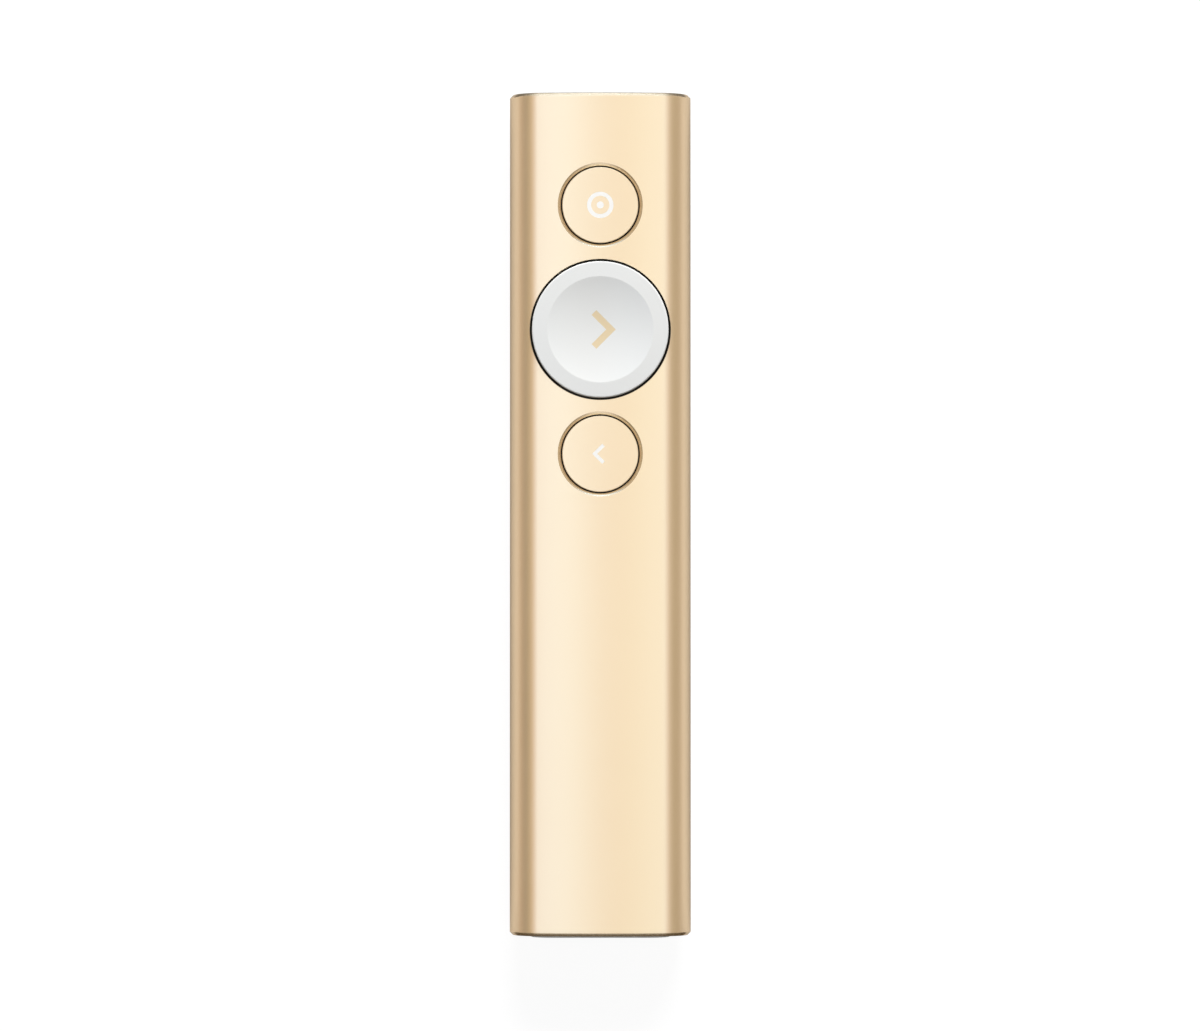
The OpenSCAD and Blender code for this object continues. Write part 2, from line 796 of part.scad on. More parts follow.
module next_base() {
    color(dark) {
        post(0, next_y, flange_z, flange_top, next_cap_d - 2 * boss_in);
        intersection() {
            post(0, next_y, flange_z, flange_top, 2 * ear_r);
            block(0, next_y - ear_r, flange_z, [ear_w, 2 * ear_r, flange_t]);
        }
        button_legs(next_y, next_pin_x);
    }
}

// A disc whose broad rim falls a little outwards round a spherical dish
module next_disc() {
    r = next_cap_d / 2;
    difference() {
        translate([0, next_y, flange_top]) {
            h = next_top - flange_top - rim_fall - edge_round;
            cylinder(r = r, h = h);
            translate([0, 0, h]) cylinder(r1 = r, r2 = r - edge_round, h = edge_round);
            translate([0, 0, h + edge_round]) cylinder(r1 = r - edge_round, r2 = dish_d / 2, h = rim_fall);
        }
        translate([0, next_y, dish_z]) sphere(dish_r, $fn = 360);
    }
}

module next_cap() {
    color([0.95, 0.95, 0.95]) difference() {
        next_disc();
        next_sign_cut();
    }
}

module next_sign() {
    color(gold) intersection() {
        next_disc();
        next_sign_cut();
    }
}

body_shell();
front_cap();
light_pipe();
tail_cap();
tail_screws();
receiver_bay();
receiver_case();
receiver_board();
receiver_plug_shell();
receiver_tongue();
receiver_contacts();
charge_port_shell();
charge_port_tongue();
inner_tray();
main_board();
board_parts();
battery();
battery_pad();
battery_leads();
battery_plug();
vibration_motor();
motor_pad();
radio_shield();
processor();
motion_sensor();
antenna();
status_led();
button_frame();
frame_screws();
switch_body(pointer_y);  // pointer_switch
plunger(pointer_y);  // pointer_plunger
pointer_base();
pointer_cap();
pointer_sign();
switch_body(next_y);  // next_switch
plunger(next_y);  // next_plunger
next_base();
next_cap();
next_sign();
switch_body(back_y);  // back_switch
plunger(back_y);  // back_plunger
back_base();
back_cap();
back_sign();
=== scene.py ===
import math

import bmesh
import bpy
from mathutils import Matrix, Vector


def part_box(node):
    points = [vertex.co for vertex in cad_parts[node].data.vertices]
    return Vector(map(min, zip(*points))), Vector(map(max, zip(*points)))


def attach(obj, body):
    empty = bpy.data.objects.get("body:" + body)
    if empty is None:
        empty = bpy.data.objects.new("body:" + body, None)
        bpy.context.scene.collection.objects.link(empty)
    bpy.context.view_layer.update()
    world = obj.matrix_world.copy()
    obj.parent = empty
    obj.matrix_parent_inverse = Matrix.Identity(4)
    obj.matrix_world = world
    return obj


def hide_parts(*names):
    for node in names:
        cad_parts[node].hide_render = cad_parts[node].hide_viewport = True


bl_info = {
    "name": "Presentation clicker",
    "version": (1, 0, 0),
    "blender": (4, 5, 0),
    "location": "3D View > Sidebar > Clicker",
    "description": "Dresses the clicker's frame in its visible pieces, finishes and stage",
    "category": "Object",
}

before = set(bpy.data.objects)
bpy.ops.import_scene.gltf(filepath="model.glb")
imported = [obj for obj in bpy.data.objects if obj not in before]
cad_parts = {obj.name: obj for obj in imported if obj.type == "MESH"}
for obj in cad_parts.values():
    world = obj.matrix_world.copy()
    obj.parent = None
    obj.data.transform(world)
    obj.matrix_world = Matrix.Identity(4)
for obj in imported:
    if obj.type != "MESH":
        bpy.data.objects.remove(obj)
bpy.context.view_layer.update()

MM = 0.001
ORIGIN = (0, 0, 0)
UP = (0, 0, 1)
# Turning round this axis takes +X towards +Z.
X_TO_Z = (0, -1, 0)
# Two loops in one plane can be bridged the wrong way round, so one of them stands back by this.
HAIR = 0.02 * MM
# Places closer than this count as one.
SAME = 1e-7
# Edges between faces that meet at more than this angle stay sharp.
SHARP = math.radians(15)
QUARTER = math.pi / 2

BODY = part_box("body_shell")
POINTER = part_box("pointer_cap")
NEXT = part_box("next_cap")
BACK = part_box("back_cap")
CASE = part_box("receiver_case")
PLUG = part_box("receiver_plug_shell")
FRONT_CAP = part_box("front_cap")
TAIL_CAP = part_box("tail_cap")
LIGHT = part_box("light_pipe")
# The receiver's case behind its head, across and upright.
SHANK = (15.6 * MM, 6.2 * MM)


def middle(box):
    return (box[0] + box[1]) / 2


def face_size(box):
    """A box's size across and upright, as seen from either end of the body."""
    return box[1].x - box[0].x, box[1].z - box[0].z


def radius_of(box):
    return (box[1].x - box[0].x) / 2


# ---- sizes and colours ----


def length(name, description, default):
    return bpy.props.FloatProperty(
        name=name, description=description, default=default, min=0, unit="LENGTH", precision=5
    )


def colour(name, description, default):
    return bpy.props.FloatVectorProperty(
        name=name, description=description, default=default, min=0, max=1, size=3, subtype="COLOR"
    )


def number(name, description, default):
    return bpy.props.FloatProperty(name=name, description=description, default=default)


class ClickerBody(bpy.types.PropertyGroup):
    width: length("Width", "Width of the body", BODY[1].x - BODY[0].x)
    height: length("Height", "Height of the body at the middle of its front face", BODY[1].z)
    crown_radius: length("Crown radius", "Radius across the front face", 64 * MM)
    shoulder_radius: length("Shoulder radius", "Radius between front face and sides", 5.2 * MM)
    heel_radius: length("Heel radius", "Radius between the back and the sides", 4.2 * MM)
    wall: length("Wall", "Wall of the extrusion", 1.2 * MM)
    end_chamfer: length("End chamfer", "Chamfer round both ends", 0.5 * MM)
    edge_round: length("Edge rounding", "Rounding where a chamfer meets the front face", 0.07 * MM)
    rim_width: length("Rim width", "Width of the chamfer round a small button's hole", 0.45 * MM)
    rim_depth: length("Rim depth", "Depth of that chamfer", 0.36 * MM)


class ClickerButtons(bpy.types.PropertyGroup):
    small_gap: length("Small gap", "Gap round the pointer and back caps", 0.25 * MM)
    small_crown: length("Small crown radius", "Radius across the pointer and back caps", 95 * MM)
    small_edge: length("Small edge", "Rounding of a small cap's top edge", 0.12 * MM)
    next_gap: length("Next gap", "Gap round the next cap", 0.35 * MM)
    next_edge: length("Next edge", "Rounding of the next cap's top edge", 0.2 * MM)
    rim_fall: length("Rim fall", "Fall of the next cap's rim from the dish outwards", 0.05 * MM)
    dish_diameter: length("Dish diameter", "Diameter of the dish in the next cap", 16.5 * MM)
    dish_depth: length("Dish depth", "Depth of that dish", 0.7 * MM)
    sign_depth: length("Sign depth", "Depth of the signs let into the caps", 0.6 * MM)
    ring_diameter: length("Ring diameter", "Outer diameter of the pointer sign", 4.1 * MM)
    ring_width: length("Ring width", "Width of the pointer sign's ring", 0.63 * MM)
    dot_diameter: length("Dot diameter", "Diameter of the pointer sign's dot", 1.1 * MM)
    next_arm: length("Next arm", "Length of an arm of the next sign", 4.26 * MM)
    next_stroke: length("Next stroke", "Width of that arm", 1.05 * MM)
    next_tip: length("Next tip", "Middle of the cap to the next sign's tip", 2.4 * MM)
    back_arm: length("Back arm", "Length of an arm of the back sign", 2.2 * MM)
    back_stroke: length("Back stroke", "Width of that arm", 0.55 * MM)
    back_tip: length("Back tip", "Middle of the cap to the back sign's tip", 1.25 * MM)


class ClickerFinish(bpy.types.PropertyGroup):
    gold: colour("Gold", "Anodised aluminium of the body and the small caps", (0.93, 0.812, 0.62))
    gold_roughness: number("Gold roughness", "How far the blasted surface spreads light", 0.35)
    cut_roughness: number("Cut roughness", "The same for the chamfers, cut after blasting", 0.25)
    white: colour("White", "Next cap", (0.9, 0.912, 0.905))
    sign_gold: colour("Sign gold", "Sign of the next cap", (0.86, 0.7, 0.45))
    sign_white: colour("Sign white", "Signs of the small caps", (1, 1, 0.98))
    grey: colour("Grey", "Receiver and tail cap", (0.8, 0.8, 0.8))
    smoke: colour("Smoke", "Front end cap, which radio waves pass", (0.2, 0.2, 0.205))
    dark: colour("Dark", "Carriers, frame and tray", (0.02, 0.02, 0.021))
    steel: colour("Steel", "Plug and shields", (0.6, 0.6, 0.62))


class ClickerStage(bpy.types.PropertyGroup):
    camera_height: length("Camera height", "Camera above the floor", 0.9)
    camera_back: length("Camera back", "How far the camera stands towards the tail", 0.018)
    camera_left: length("Camera left", "How far the camera stands to the left", 0.04 * MM)
    view_width: length("View width", "Width of the picture at the object", 0.1873)
    key_power: number("Key power", "Power of the lamp beyond the pointer end, in watts", 54.0)
    sky: number("Sky", "Strength of the sky's light on matt surfaces", 0.26)


# ---- drawing ----


def spin(bm, geom, centre, axis, angle, steps, merge=False):
    """Draws geometry round an axis through centre. The ends of a full turn are merged."""
    return bmesh.ops.spin(
        bm, geom=geom, cent=centre, axis=axis, angle=angle, steps=steps,
        use_merge=merge, use_duplicate=False,
    )


class Outline:
    """A run of edges drawn in a plane square to +Y, made of straight lines and arcs."""

    def __init__(self, bm, x, z, y=0.0):
        self.bm, self.y = bm, y
        self.first_edge = len(bm.edges)
        self.first = self.last = bm.verts.new((x, y, z))

    def line(self, x, z):
        self.last = bmesh.ops.extrude_vert_indiv(self.bm, verts=[self.last])["verts"][0]
        self.last.co = (x, self.y, z)
        return self

    def arc(self, centre_x, centre_z, angle, steps):
        """Turns from +X towards +Z round the centre, or the other way if angle is negative."""
        centre = (centre_x, self.y, centre_z)
        turned = spin(self.bm, [self.last], centre, X_TO_Z, angle, steps)
        self.last = [g for g in turned["geom_last"] if isinstance(g, bmesh.types.BMVert)][0]
        return self

    def close(self):
        self.bm.edges.new((self.last, self.first))
        return self.edges()

    def edges(self):
        self.bm.edges.ensure_lookup_table()
        return self.bm.edges[self.first_edge :]


def rounded_outline(bm, centre, width, height, radius, y, steps):
    """A closed rectangle with round corners, or a slot where radius is half of height."""
    x, z = width / 2 - radius, height / 2 - radius
    left, right, low, high = centre.x - x, centre.x + x, centre.z - z, centre.z + z
    line = Outline(bm, right, centre.z - height / 2, y).arc(right, low, QUARTER, steps)
    if z > 0:
        line.line(centre.x + width / 2, high)
    line.arc(right, high, QUARTER, steps).line(left, centre.z + height / 2)
    line.arc(left, high, QUARTER, steps)
    if z > 0:
        line.line(centre.x - width / 2, low)
    return line.arc(left, low, QUARTER, steps).close()


def bridge(bm, loops, closed=False):
    """Joins each loop of edges to the next, and closes the run on itself or caps both ends."""
    pairs = list(zip(loops, loops[1:] + loops[:1]))
    for a, b in pairs if closed else pairs[:-1]:
        bmesh.ops.bridge_loops(bm, edges=list(a) + list(b))
    if not closed:
        for end in (loops[0], loops[-1]):
            bmesh.ops.contextual_create(bm, geom=list(end))
    return bm


def turn(bm, angle, axis, place):
    """Turns a mesh round an axis through the origin, then moves it to place."""
    bmesh.ops.rotate(bm, verts=bm.verts, matrix=Matrix.Rotation(angle, 3, axis))
    bmesh.ops.translate(bm, verts=bm.verts, vec=place)


def prism(outline, y0, y1):
    """A solid of one outline, from y0 to y1. outline(bm, y) draws it and returns its edges."""
    bm = bmesh.new()
    return bridge(bm, [outline(bm, y0), outline(bm, y1)])


def lathe(line, centre, steps):
    """Spins an outline, drawn with X as the radius, round +Z and moves it to centre."""
    bm = line.bm
    spin(bm, bm.verts[:] + bm.edges[:], ORIGIN, UP, 2 * math.pi, steps, merge=True)
    bmesh.ops.remove_doubles(bm, verts=bm.verts, dist=SAME)
    bmesh.ops.translate(bm, verts=bm.verts, vec=centre)
    return bm


def drum(radius, z0, z1, centre, steps):
    """A plain round solid."""
    line = Outline(bmesh.new(), 0, z0).line(radius, z0).line(radius, z1).line(0, z1)
    return lathe(line, centre, steps)


def bevel(bm, edges, offset, segments):
    bmesh.ops.bevel(
        bm, geom=edges, offset=offset, segments=segments, profile=0.5,
        affect="EDGES", material=-1, clamp_overlap=True,
    )


def round_face(bm, y, offset, segments):
    """Rounds the edges of the flat face at y."""
    edges = [e for e in bm.edges if all(abs(v.co.y - y) < SAME for v in e.verts)]
    bevel(bm, edges, offset, segments)


def sharp_edges(bm, angle=SHARP):
    return [e for e in bm.edges if len(e.link_faces) == 2 and e.calc_face_angle(0) > angle]


# ---- pieces ----


def mesh_object(name, bm, outwards=True):
    """Makes an object of the mesh, with its faces turned outwards, and puts it in the scene."""
    if outwards:
        bmesh.ops.recalc_face_normals(bm, faces=bm.faces)
    mesh = bpy.data.meshes.new(name)
    bm.to_mesh(mesh)
    bm.free()
    made = bpy.data.objects.new(name, mesh)
    bpy.context.scene.collection.objects.link(made)
    return made


def combine(target, tools, operation="DIFFERENCE"):
    """Cuts the tools out of target, keeps what they share, or joins them, and removes the tools."""
    for tool in tools:
        step = target.modifiers.new(operation, "BOOLEAN")
        step.operation, step.object, step.solver = operation, tool, "EXACT"
    bpy.context.view_layer.update()
    result = bpy.data.meshes.new_from_object(
        target.evaluated_get(bpy.context.evaluated_depsgraph_get())
    )
    target.modifiers.clear()
    old, target.data = target.data, result
    bpy.data.meshes.remove(old)
    for tool in tools:
        bpy.data.meshes.remove(tool.data)


def duplicate(piece, name):
    made = piece.copy()
    made.data = piece.data.copy()
    made.name = name
    bpy.context.scene.collection.objects.link(made)
    return made


def finish_piece(piece, body, node, slot, finish=None):
    """Sets a piece's shading and finish, says which body it rides on, and hides the node it stands
    for.

    The finish is the slot's own unless another is named.
    """
    bm = bmesh.new()
    bm.from_mesh(piece.data)
    bmesh.ops.remove_doubles(bm, verts=bm.verts, dist=2 * SAME)
    bmesh.ops.dissolve_degenerate(bm, edges=bm.edges, dist=2 * SAME)
    for face in bm.faces:
        face.smooth = True
    for edge in bm.edges:
        edge.smooth = True
    for edge in sharp_edges(bm):
        edge.smooth = False
    bm.to_mesh(piece.data)
    bm.free()
    piece.data.materials.clear()
    piece.data.materials.append(finish_of(finish or slot))
    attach(piece, body)
    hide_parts(node)


def mark_cuts(piece, is_cut):
    """Tells the finish which faces were cut after blasting."""
    mark = piece.data.attributes.new("cut", "FLOAT", "FACE")
    for face, value in zip(piece.data.polygons, mark.data):
        value.value = float(is_cut(face.normal, face.center))


def softened_copy(node, name, offset, body, slot):
    """A copy of a plain node with its sharp edges rounded."""
    bm = bmesh.new()
    bm.from_mesh(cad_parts[node].data)
    bmesh.ops.remove_doubles(bm, verts=bm.verts, dist=10 * SAME)
    # Faces in one plane are joined first, so that only real edges are rounded.
    bmesh.ops.dissolve_limit(
        bm, angle_limit=math.radians(0.5), verts=bm.verts, edges=bm.edges,
        use_dissolve_boundaries=False, delimit=set(),
    )
    bevel(bm, sharp_edges(bm, math.radians(30)), offset, 2)
    finish_piece(mesh_object(name, bm), body, node, slot)


# ---- finishes ----


class Field:
    """A node's output that can be added, multiplied and so on."""

    def __init__(self, nodes, socket):
        self.nodes, self.socket = nodes, socket

    def reckon(self, operation, first, second):
        return self.nodes.node("ShaderNodeMath", {"operation": operation}, {0: first, 1: second})

    def __add__(self, other):
        return self.reckon("ADD", self, other)

    def __radd__(self, other):
        return self.reckon("ADD", other, self)

    def __sub__(self, other):
        return self.reckon("SUBTRACT", self, other)

    def __rsub__(self, other):
        return self.reckon("SUBTRACT", other, self)

    def __mul__(self, other):
        return self.reckon("MULTIPLY", self, other)

    def __rmul__(self, other):
        return self.reckon("MULTIPLY", other, self)

    def __truediv__(self, other):
        return self.reckon("DIVIDE", self, other)

    def __gt__(self, other):
        return self.reckon("GREATER_THAN", self, other)


class Nodes:
    """Adds nodes to one tree."""

    def __init__(self, tree):
        self.tree = tree

    def node(self, kind, settings, sockets, output=0):
        """Adds a node, sets it, then gives its sockets their values or links."""
        made = self.tree.nodes.new(kind)
        for name, value in settings.items():
            if name == "stops":
                ramp = made.color_ramp.elements
                for place, tone in value:
                    near = [e for e in ramp if abs(e.position - place) < 1e-6]
                    stop = near[0] if near else ramp.new(place)
                    stop.color = (*tone, 1)
            else:
                setattr(made, name, value)
        for name, value in sockets.items():
            self.feed(made.inputs[name], value)
        return Field(self, made.outputs[output]) if made.outputs else None

    def feed(self, socket, value):
        if isinstance(value, Field):
            self.tree.links.new(value.socket, socket)
        else:
            socket.default_value = value

    def blend(self, factor, first, second):
        """A colour that goes from first to second."""
        ends = [(*c, 1) if isinstance(c, tuple) else c for c in (first, second)]
        settings = {"data_type": "RGBA", "clamp_factor": True}
        return self.node("ShaderNodeMix", settings, {0: factor, 6: ends[0], 7: ends[1]}, 2)

    def place(self):
        return self.node("ShaderNodeTexCoord", {}, {}, "Object")

    def along(self, axis):
        """Where a point lies along the object's X, Y or Z, which are axes 0, 1 and 2."""
        return self.node("ShaderNodeSeparateXYZ", {}, {0: self.place()}, axis)

    def spread(self, value, first, last):
        """A number that goes from one (value, number) pair to another, and stays level beyond."""
        run = {
            "Value": value,
            "From Min": first[0], "From Max": last[0], "To Min": first[1], "To Max": last[1],
        }
        return self.node("ShaderNodeMapRange", {}, run, "Result")

    def light_path(self, output):
        return self.node("ShaderNodeLightPath", {}, {}, output)

    def surface(self, shader, kind="ShaderNodeOutputMaterial"):
        self.node(kind, {}, {"Surface": shader})

    def noise(self, vector, size, detail=2.0):
        """Soft random patches about size across, from 0 to 1."""
        sockets = {"Vector": vector, "Scale": 1 / size, "Detail": detail}
        return self.node("ShaderNodeTexNoise", {}, sockets, "Fac")

    def cells(self, vector, size, **settings):
        """Random cells about size across, as the distance from their points or edges."""
        sockets = {"Vector": vector, "Scale": 1 / size}
        return self.node("ShaderNodeTexVoronoi", settings, sockets, "Distance")


class Finish(Nodes):
    """A material round one Principled shader."""

    def __init__(self, name, tone, roughness, metallic=0.0, **fixed):
        self.material = bpy.data.materials.new(name + "_finish")
        self.material.use_nodes = True
        super().__init__(self.material.node_tree)
        self.shader = self.tree.nodes["Principled BSDF"]
        self.tone = tuple(tone)
        self.set("Base Color", (*self.tone, 1))
        self.set("Roughness", roughness)
        self.set("Metallic", metallic)
        for socket, value in fixed.items():
            self.set(socket.replace("_", " "), value)

    def set(self, socket, value):
        self.feed(self.shader.inputs[socket], value)

    def bump(self, height, depth, strength=1.0):
        sockets = {"Height": height, "Distance": depth, "Strength": strength}
        self.set("Normal", self.node("ShaderNodeBump", {}, sockets, "Normal"))

    def shade(self, factor, darker, lighter):
        """Base colour between two multiples of the finish's own tone."""
        ends = [tuple(min(1.0, c * k) for c in self.tone) for k in (darker, lighter)]
        self.set("Base Color", self.blend(factor, *ends))


def anodised(name, tone, roughness, cut_roughness):
    """Blasted and anodised aluminium: a fine even grain, slow changes of gloss, shinier cuts."""
    made = Finish(name, tone, roughness, metallic=0.9)
    place = made.place()
    grain, cloud = made.noise(place, 0.07 * MM, 3), made.noise(place, 9 * MM)
    cut = made.node("ShaderNodeAttribute", {"attribute_name": "cut"}, {}, "Fac")
    blasted = (grain - 0.5) * 0.1 + (cloud - 0.5) * 0.03 + roughness
    made.shade(cloud, 0.985, 1.01)
    made.set("Roughness", blasted * (1 - cut) + cut * cut_roughness)
    made.bump(grain * (1 - cut), 0.0012 * MM)


def moulded(name, tone, roughness, texture_size, texture_depth, **fixed):
    """Moulded plastic with the texture of its tool, and a faint unevenness in the gloss."""
    made = Finish(name, tone, roughness, **fixed)
    place = made.place()
    texture, cloud = made.noise(place, texture_size, 4), made.noise(place, 6 * MM)
    made.shade(cloud, 0.985, 1.0)
    made.set("Roughness", (cloud - 0.5) * 0.06 + (texture - 0.5) * 0.05 + roughness)
    made.bump(texture, texture_depth)


def plated(name, tone, roughness, across=(1, 1, 0.04)):
    """Rolled or turned metal: fine lines one way, and spots where the plating is duller."""
    made = Finish(name, tone, roughness, metallic=1.0)
    place = made.place()
    stretched = made.node("ShaderNodeMapping", {}, {"Vector": place, "Scale": across})
    lines, spots = made.noise(stretched, 0.05 * MM, 4), made.noise(place, 1.2 * MM, 5)
    made.shade(spots, 0.93, 1.0)
    made.set("Roughness", (lines - 0.5) * 0.16 + (spots - 0.5) * 0.1 + roughness)
    made.bump(lines, 0.002 * MM)


def circuit_board(name, tone):
    """Solder mask over straight copper tracks, with round vias."""
    made = Finish(name, tone, 0.32)
    place = made.place()
    blocks = made.cells(place, 1.6 * MM, distance="CHEBYCHEV")
    waves = {"Vector": place, "Scale": 1 / (12 * MM), "Distortion": 0.0}
    stripes = made.node("ShaderNodeTexWave", {"bands_direction": "X"}, waves, "Fac")
    tracks = (stripes > 0.62) * (blocks > 0.28)
    vias = 1 - (made.cells(place, 1.6 * MM) > 0.11)
    masked = made.blend(tracks, made.tone, tuple(min(1.0, c * 1.7) for c in made.tone))
    made.set("Base Color", made.blend(vias, masked, (0.75, 0.68, 0.45)))
    made.set("Metallic", vias * 0.9)
    made.set("Roughness", 0.34 - vias * 0.1 + (made.noise(place, 0.4 * MM) - 0.5) * 0.06)
    made.bump(tracks * 0.6 + vias, 0.02 * MM)


def foil_pouch(name, tone):
    """Aluminium laminate, dulled and a little creased."""
    made = Finish(name, tone, 0.38, metallic=0.85)
    place = made.place()
    creases = made.cells(place, 4 * MM, feature="DISTANCE_TO_EDGE")
    soft = made.noise(place, 2.5 * MM, 5)
    made.shade(soft, 0.88, 1.0)
    made.set("Roughness", (soft - 0.5) * 0.25 + 0.38)
    made.bump(soft + creases * 0.3, 0.12 * MM, 0.5)


def foam(name, tone):
    """Open foam: small round pores, with painted shade darkening their middles."""
    made = Finish(name, tone, 0.92)
    pores = made.cells(made.place(), 0.25 * MM)
    # Painted shade: each pore is darker towards its middle, where the bump makes it deepest.
    made.shade(pores, 0.5, 1.5)
    made.bump(pores, 0.1 * MM)


def chip_package(name, tone):
    """Moulded epoxy, speckled with filler."""
    made = Finish(name, tone, 0.55)
    place = made.place()
    speckle = made.noise(place, 0.04 * MM, 5)
    made.shade(speckle, 0.7, 1.4)
    made.set("Roughness", (speckle - 0.5) * 0.2 + 0.55)
    made.bump(speckle, 0.006 * MM)


def make_finishes(tones):
    steel = tuple(tones.steel)
    anodised("gold_anodised", tones.gold, tones.gold_roughness, tones.cut_roughness)
    moulded("white_gloss", tones.white, 0.25, 0.5 * MM, 0.0006 * MM)
    moulded("sign_gold", tones.sign_gold, 0.6, 0.12 * MM, 0.001 * MM)
    # Painted glow: the white lacquer gives off a faint light of its own, so that it stays whiter
    # than the gold round it.
    moulded(
        "sign_white", tones.sign_white, 0.4, 0.1 * MM, 0.0015 * MM,
        Coat_Weight=1.0, Emission_Color=(1, 1, 1, 1), Emission_Strength=0.06,
    )
    moulded("grey_plastic", tones.grey, 0.5, 0.13 * MM, 0.008 * MM)
    moulded("smoke_plastic", tones.smoke, 0.5, 0.13 * MM, 0.008 * MM)
    moulded("dark_plastic", tones.dark, 0.55, 0.16 * MM, 0.01 * MM)
    moulded(
        "clear_plastic", (0.86, 0.9, 0.93), 0.35, 0.1 * MM, 0.004 * MM, Transmission_Weight=0.5
    )
    plated("plug_steel", steel, 0.27)
    plated("screw_steel", tuple(c * 0.85 for c in steel), 0.33, (0.2, 1, 0.2))
    plated("contact_gold", (0.86, 0.62, 0.25), 0.24)
    circuit_board("board_green", (0.015, 0.09, 0.045))
    chip_package("chip_black", (0.02, 0.02, 0.022))
    chip_package("chip_tan", (0.4, 0.31, 0.21))
    foil_pouch("battery_pouch", (0.55, 0.57, 0.6))
    foam("foam_black", (0.02, 0.02, 0.02))
    moulded("lead_red", (0.45, 0.02, 0.02), 0.4, 0.2 * MM, 0.004 * MM)
    moulded("plug_cream", (0.72, 0.67, 0.52), 0.35, 0.15 * MM, 0.003 * MM)
    moulded("led_white", (0.88, 0.86, 0.72), 0.3, 0.1 * MM, 0.002 * MM)


def finish_of(name):
    """A finish made above. The frame's own flat materials have these names without the ending."""
    return bpy.data.materials[name + "_finish"]


NODE_FINISHES = {
    "board_green": ["main_board", "receiver_board"],
    "chip_tan": ["board_parts"],
    "battery_pouch": ["battery"],
    "foam_black": ["battery_pad", "motor_pad"],
    "lead_red": ["battery_leads"],
    "plug_cream": ["battery_plug", "antenna", "pointer_plunger", "next_plunger", "back_plunger"],
    "plug_steel": ["radio_shield", "charge_port_shell", "vibration_motor"],
    "screw_steel": ["frame_screws"],
    "chip_black": [
        "processor", "motion_sensor", "charge_port_tongue",
        "pointer_switch", "next_switch", "back_switch",
    ],
    "led_white": ["status_led"],
    "dark_plastic": [
        "inner_tray", "button_frame", "receiver_bay", "pointer_base", "next_base", "back_base",
    ],
}


# ---- the body ----


class Section:
    """The body's section: a crown arc, shoulder and heel arcs, and flats between them."""

    HEEL_STEPS, SHOULDER_STEPS, CROWN_STEPS = 24, 40, 56

    def __init__(self, sizes):
        self.side = sizes.width / 2
        self.crown_r, self.shoulder_r, self.heel_r = (
            sizes.crown_radius, sizes.shoulder_radius, sizes.heel_radius,
        )
        self.heel_x = self.side - self.heel_r
        self.shoulder_x = self.side - self.shoulder_r
        self.crown_z = sizes.height - self.crown_r
        rise = math.sqrt((self.crown_r - self.shoulder_r) ** 2 - self.shoulder_x**2)
        self.shoulder_z = self.crown_z + rise
        self.seam = math.atan2(rise, self.shoulder_x)

    def loop(self, bm, y, inset):
        """Draws the section at y, moved in by inset, and returns its edges."""
        side = self.side - inset
        line = Outline(bm, self.heel_x, inset, y)
        line.arc(self.heel_x, self.heel_r, QUARTER, self.HEEL_STEPS).line(side, self.shoulder_z)
        line.arc(self.shoulder_x, self.shoulder_z, self.seam, self.SHOULDER_STEPS)
        line.arc(0, self.crown_z, 2 * (QUARTER - self.seam), self.CROWN_STEPS)
        line.arc(-self.shoulder_x, self.shoulder_z, self.seam, self.SHOULDER_STEPS)
        line.line(-side, self.heel_r).arc(-self.heel_x, self.heel_r, QUARTER, self.HEEL_STEPS)
        return line.close()

    def fall(self, x):
        """How far the front face at x lies below its middle."""
        x = abs(x)
        if x < self.crown_r * math.cos(self.seam):
            return self.crown_r - math.sqrt(self.crown_r**2 - x * x)
        depth = self.shoulder_r**2 - (x - self.shoulder_x) ** 2
        return self.crown_r + self.crown_z - self.shoulder_z - math.sqrt(max(depth, 0))


def body_tube(section, sizes):
    """The extrusion with chamfered ends, before its holes."""
    tail, front = BODY[0].y, BODY[1].y
    chamfer = sizes.end_chamfer
    # The loops beside a chamfer keep its rounding from tilting the long faces.
    guard = chamfer + 5 * sizes.edge_round
    stations = [
        (tail, chamfer), (tail + chamfer, 0), (tail + guard, 0),
        (front - guard, 0), (front - chamfer, 0), (front, chamfer),
        (front - HAIR, sizes.wall), (tail + HAIR, sizes.wall),
    ]
    bm = bmesh.new()
    loops = [section.loop(bm, y, inset) for y, inset in stations]
    rounded = [e for i in (0, 1, 4, 5) for e in loops[i]]
    bridge(bm, loops, closed=True)
    bevel(bm, rounded, sizes.edge_round, 4)
    return mesh_object("gold_body", bm)


def hole_cutter(section, box, gap, rim_width=0.0, rim_depth=0.0):
    """A round cutter for a cap's hole. Its chamfer follows the front face, so its width is even.

    A hole without a rim has only its edge broken.
    """
    centre, radius, top = middle(box), radius_of(box) + gap, BODY[1].z
    reach, over = 6 * MM, 2 * MM
    line = Outline(bmesh.new(), 0, top - reach).line(radius, top - reach)
    if rim_width:
        profile = [
            (0, -rim_depth), (0.9 * rim_width, -0.07 * rim_depth), (rim_width, 0),
            (1.6 * rim_width, 0.3 * rim_width),
        ]
    else:
        profile = [(0, -0.06 * MM), (0.04 * MM, 0), (0.2 * MM, 0.2 * MM)]
    for out, up in profile:
        line.line(radius + out, top + up)
    line.line(radius + 1.6 * rim_width + 0.2 * MM, top + over).line(0, top + over)
    bm = lathe(line, (0, centre.y, 0), 256)
    for vert in bm.verts:
        if top - over < vert.co.z < top + over / 2:
            vert.co.z -= section.fall(vert.co.x)
    return mesh_object("hole_cutter", bm)


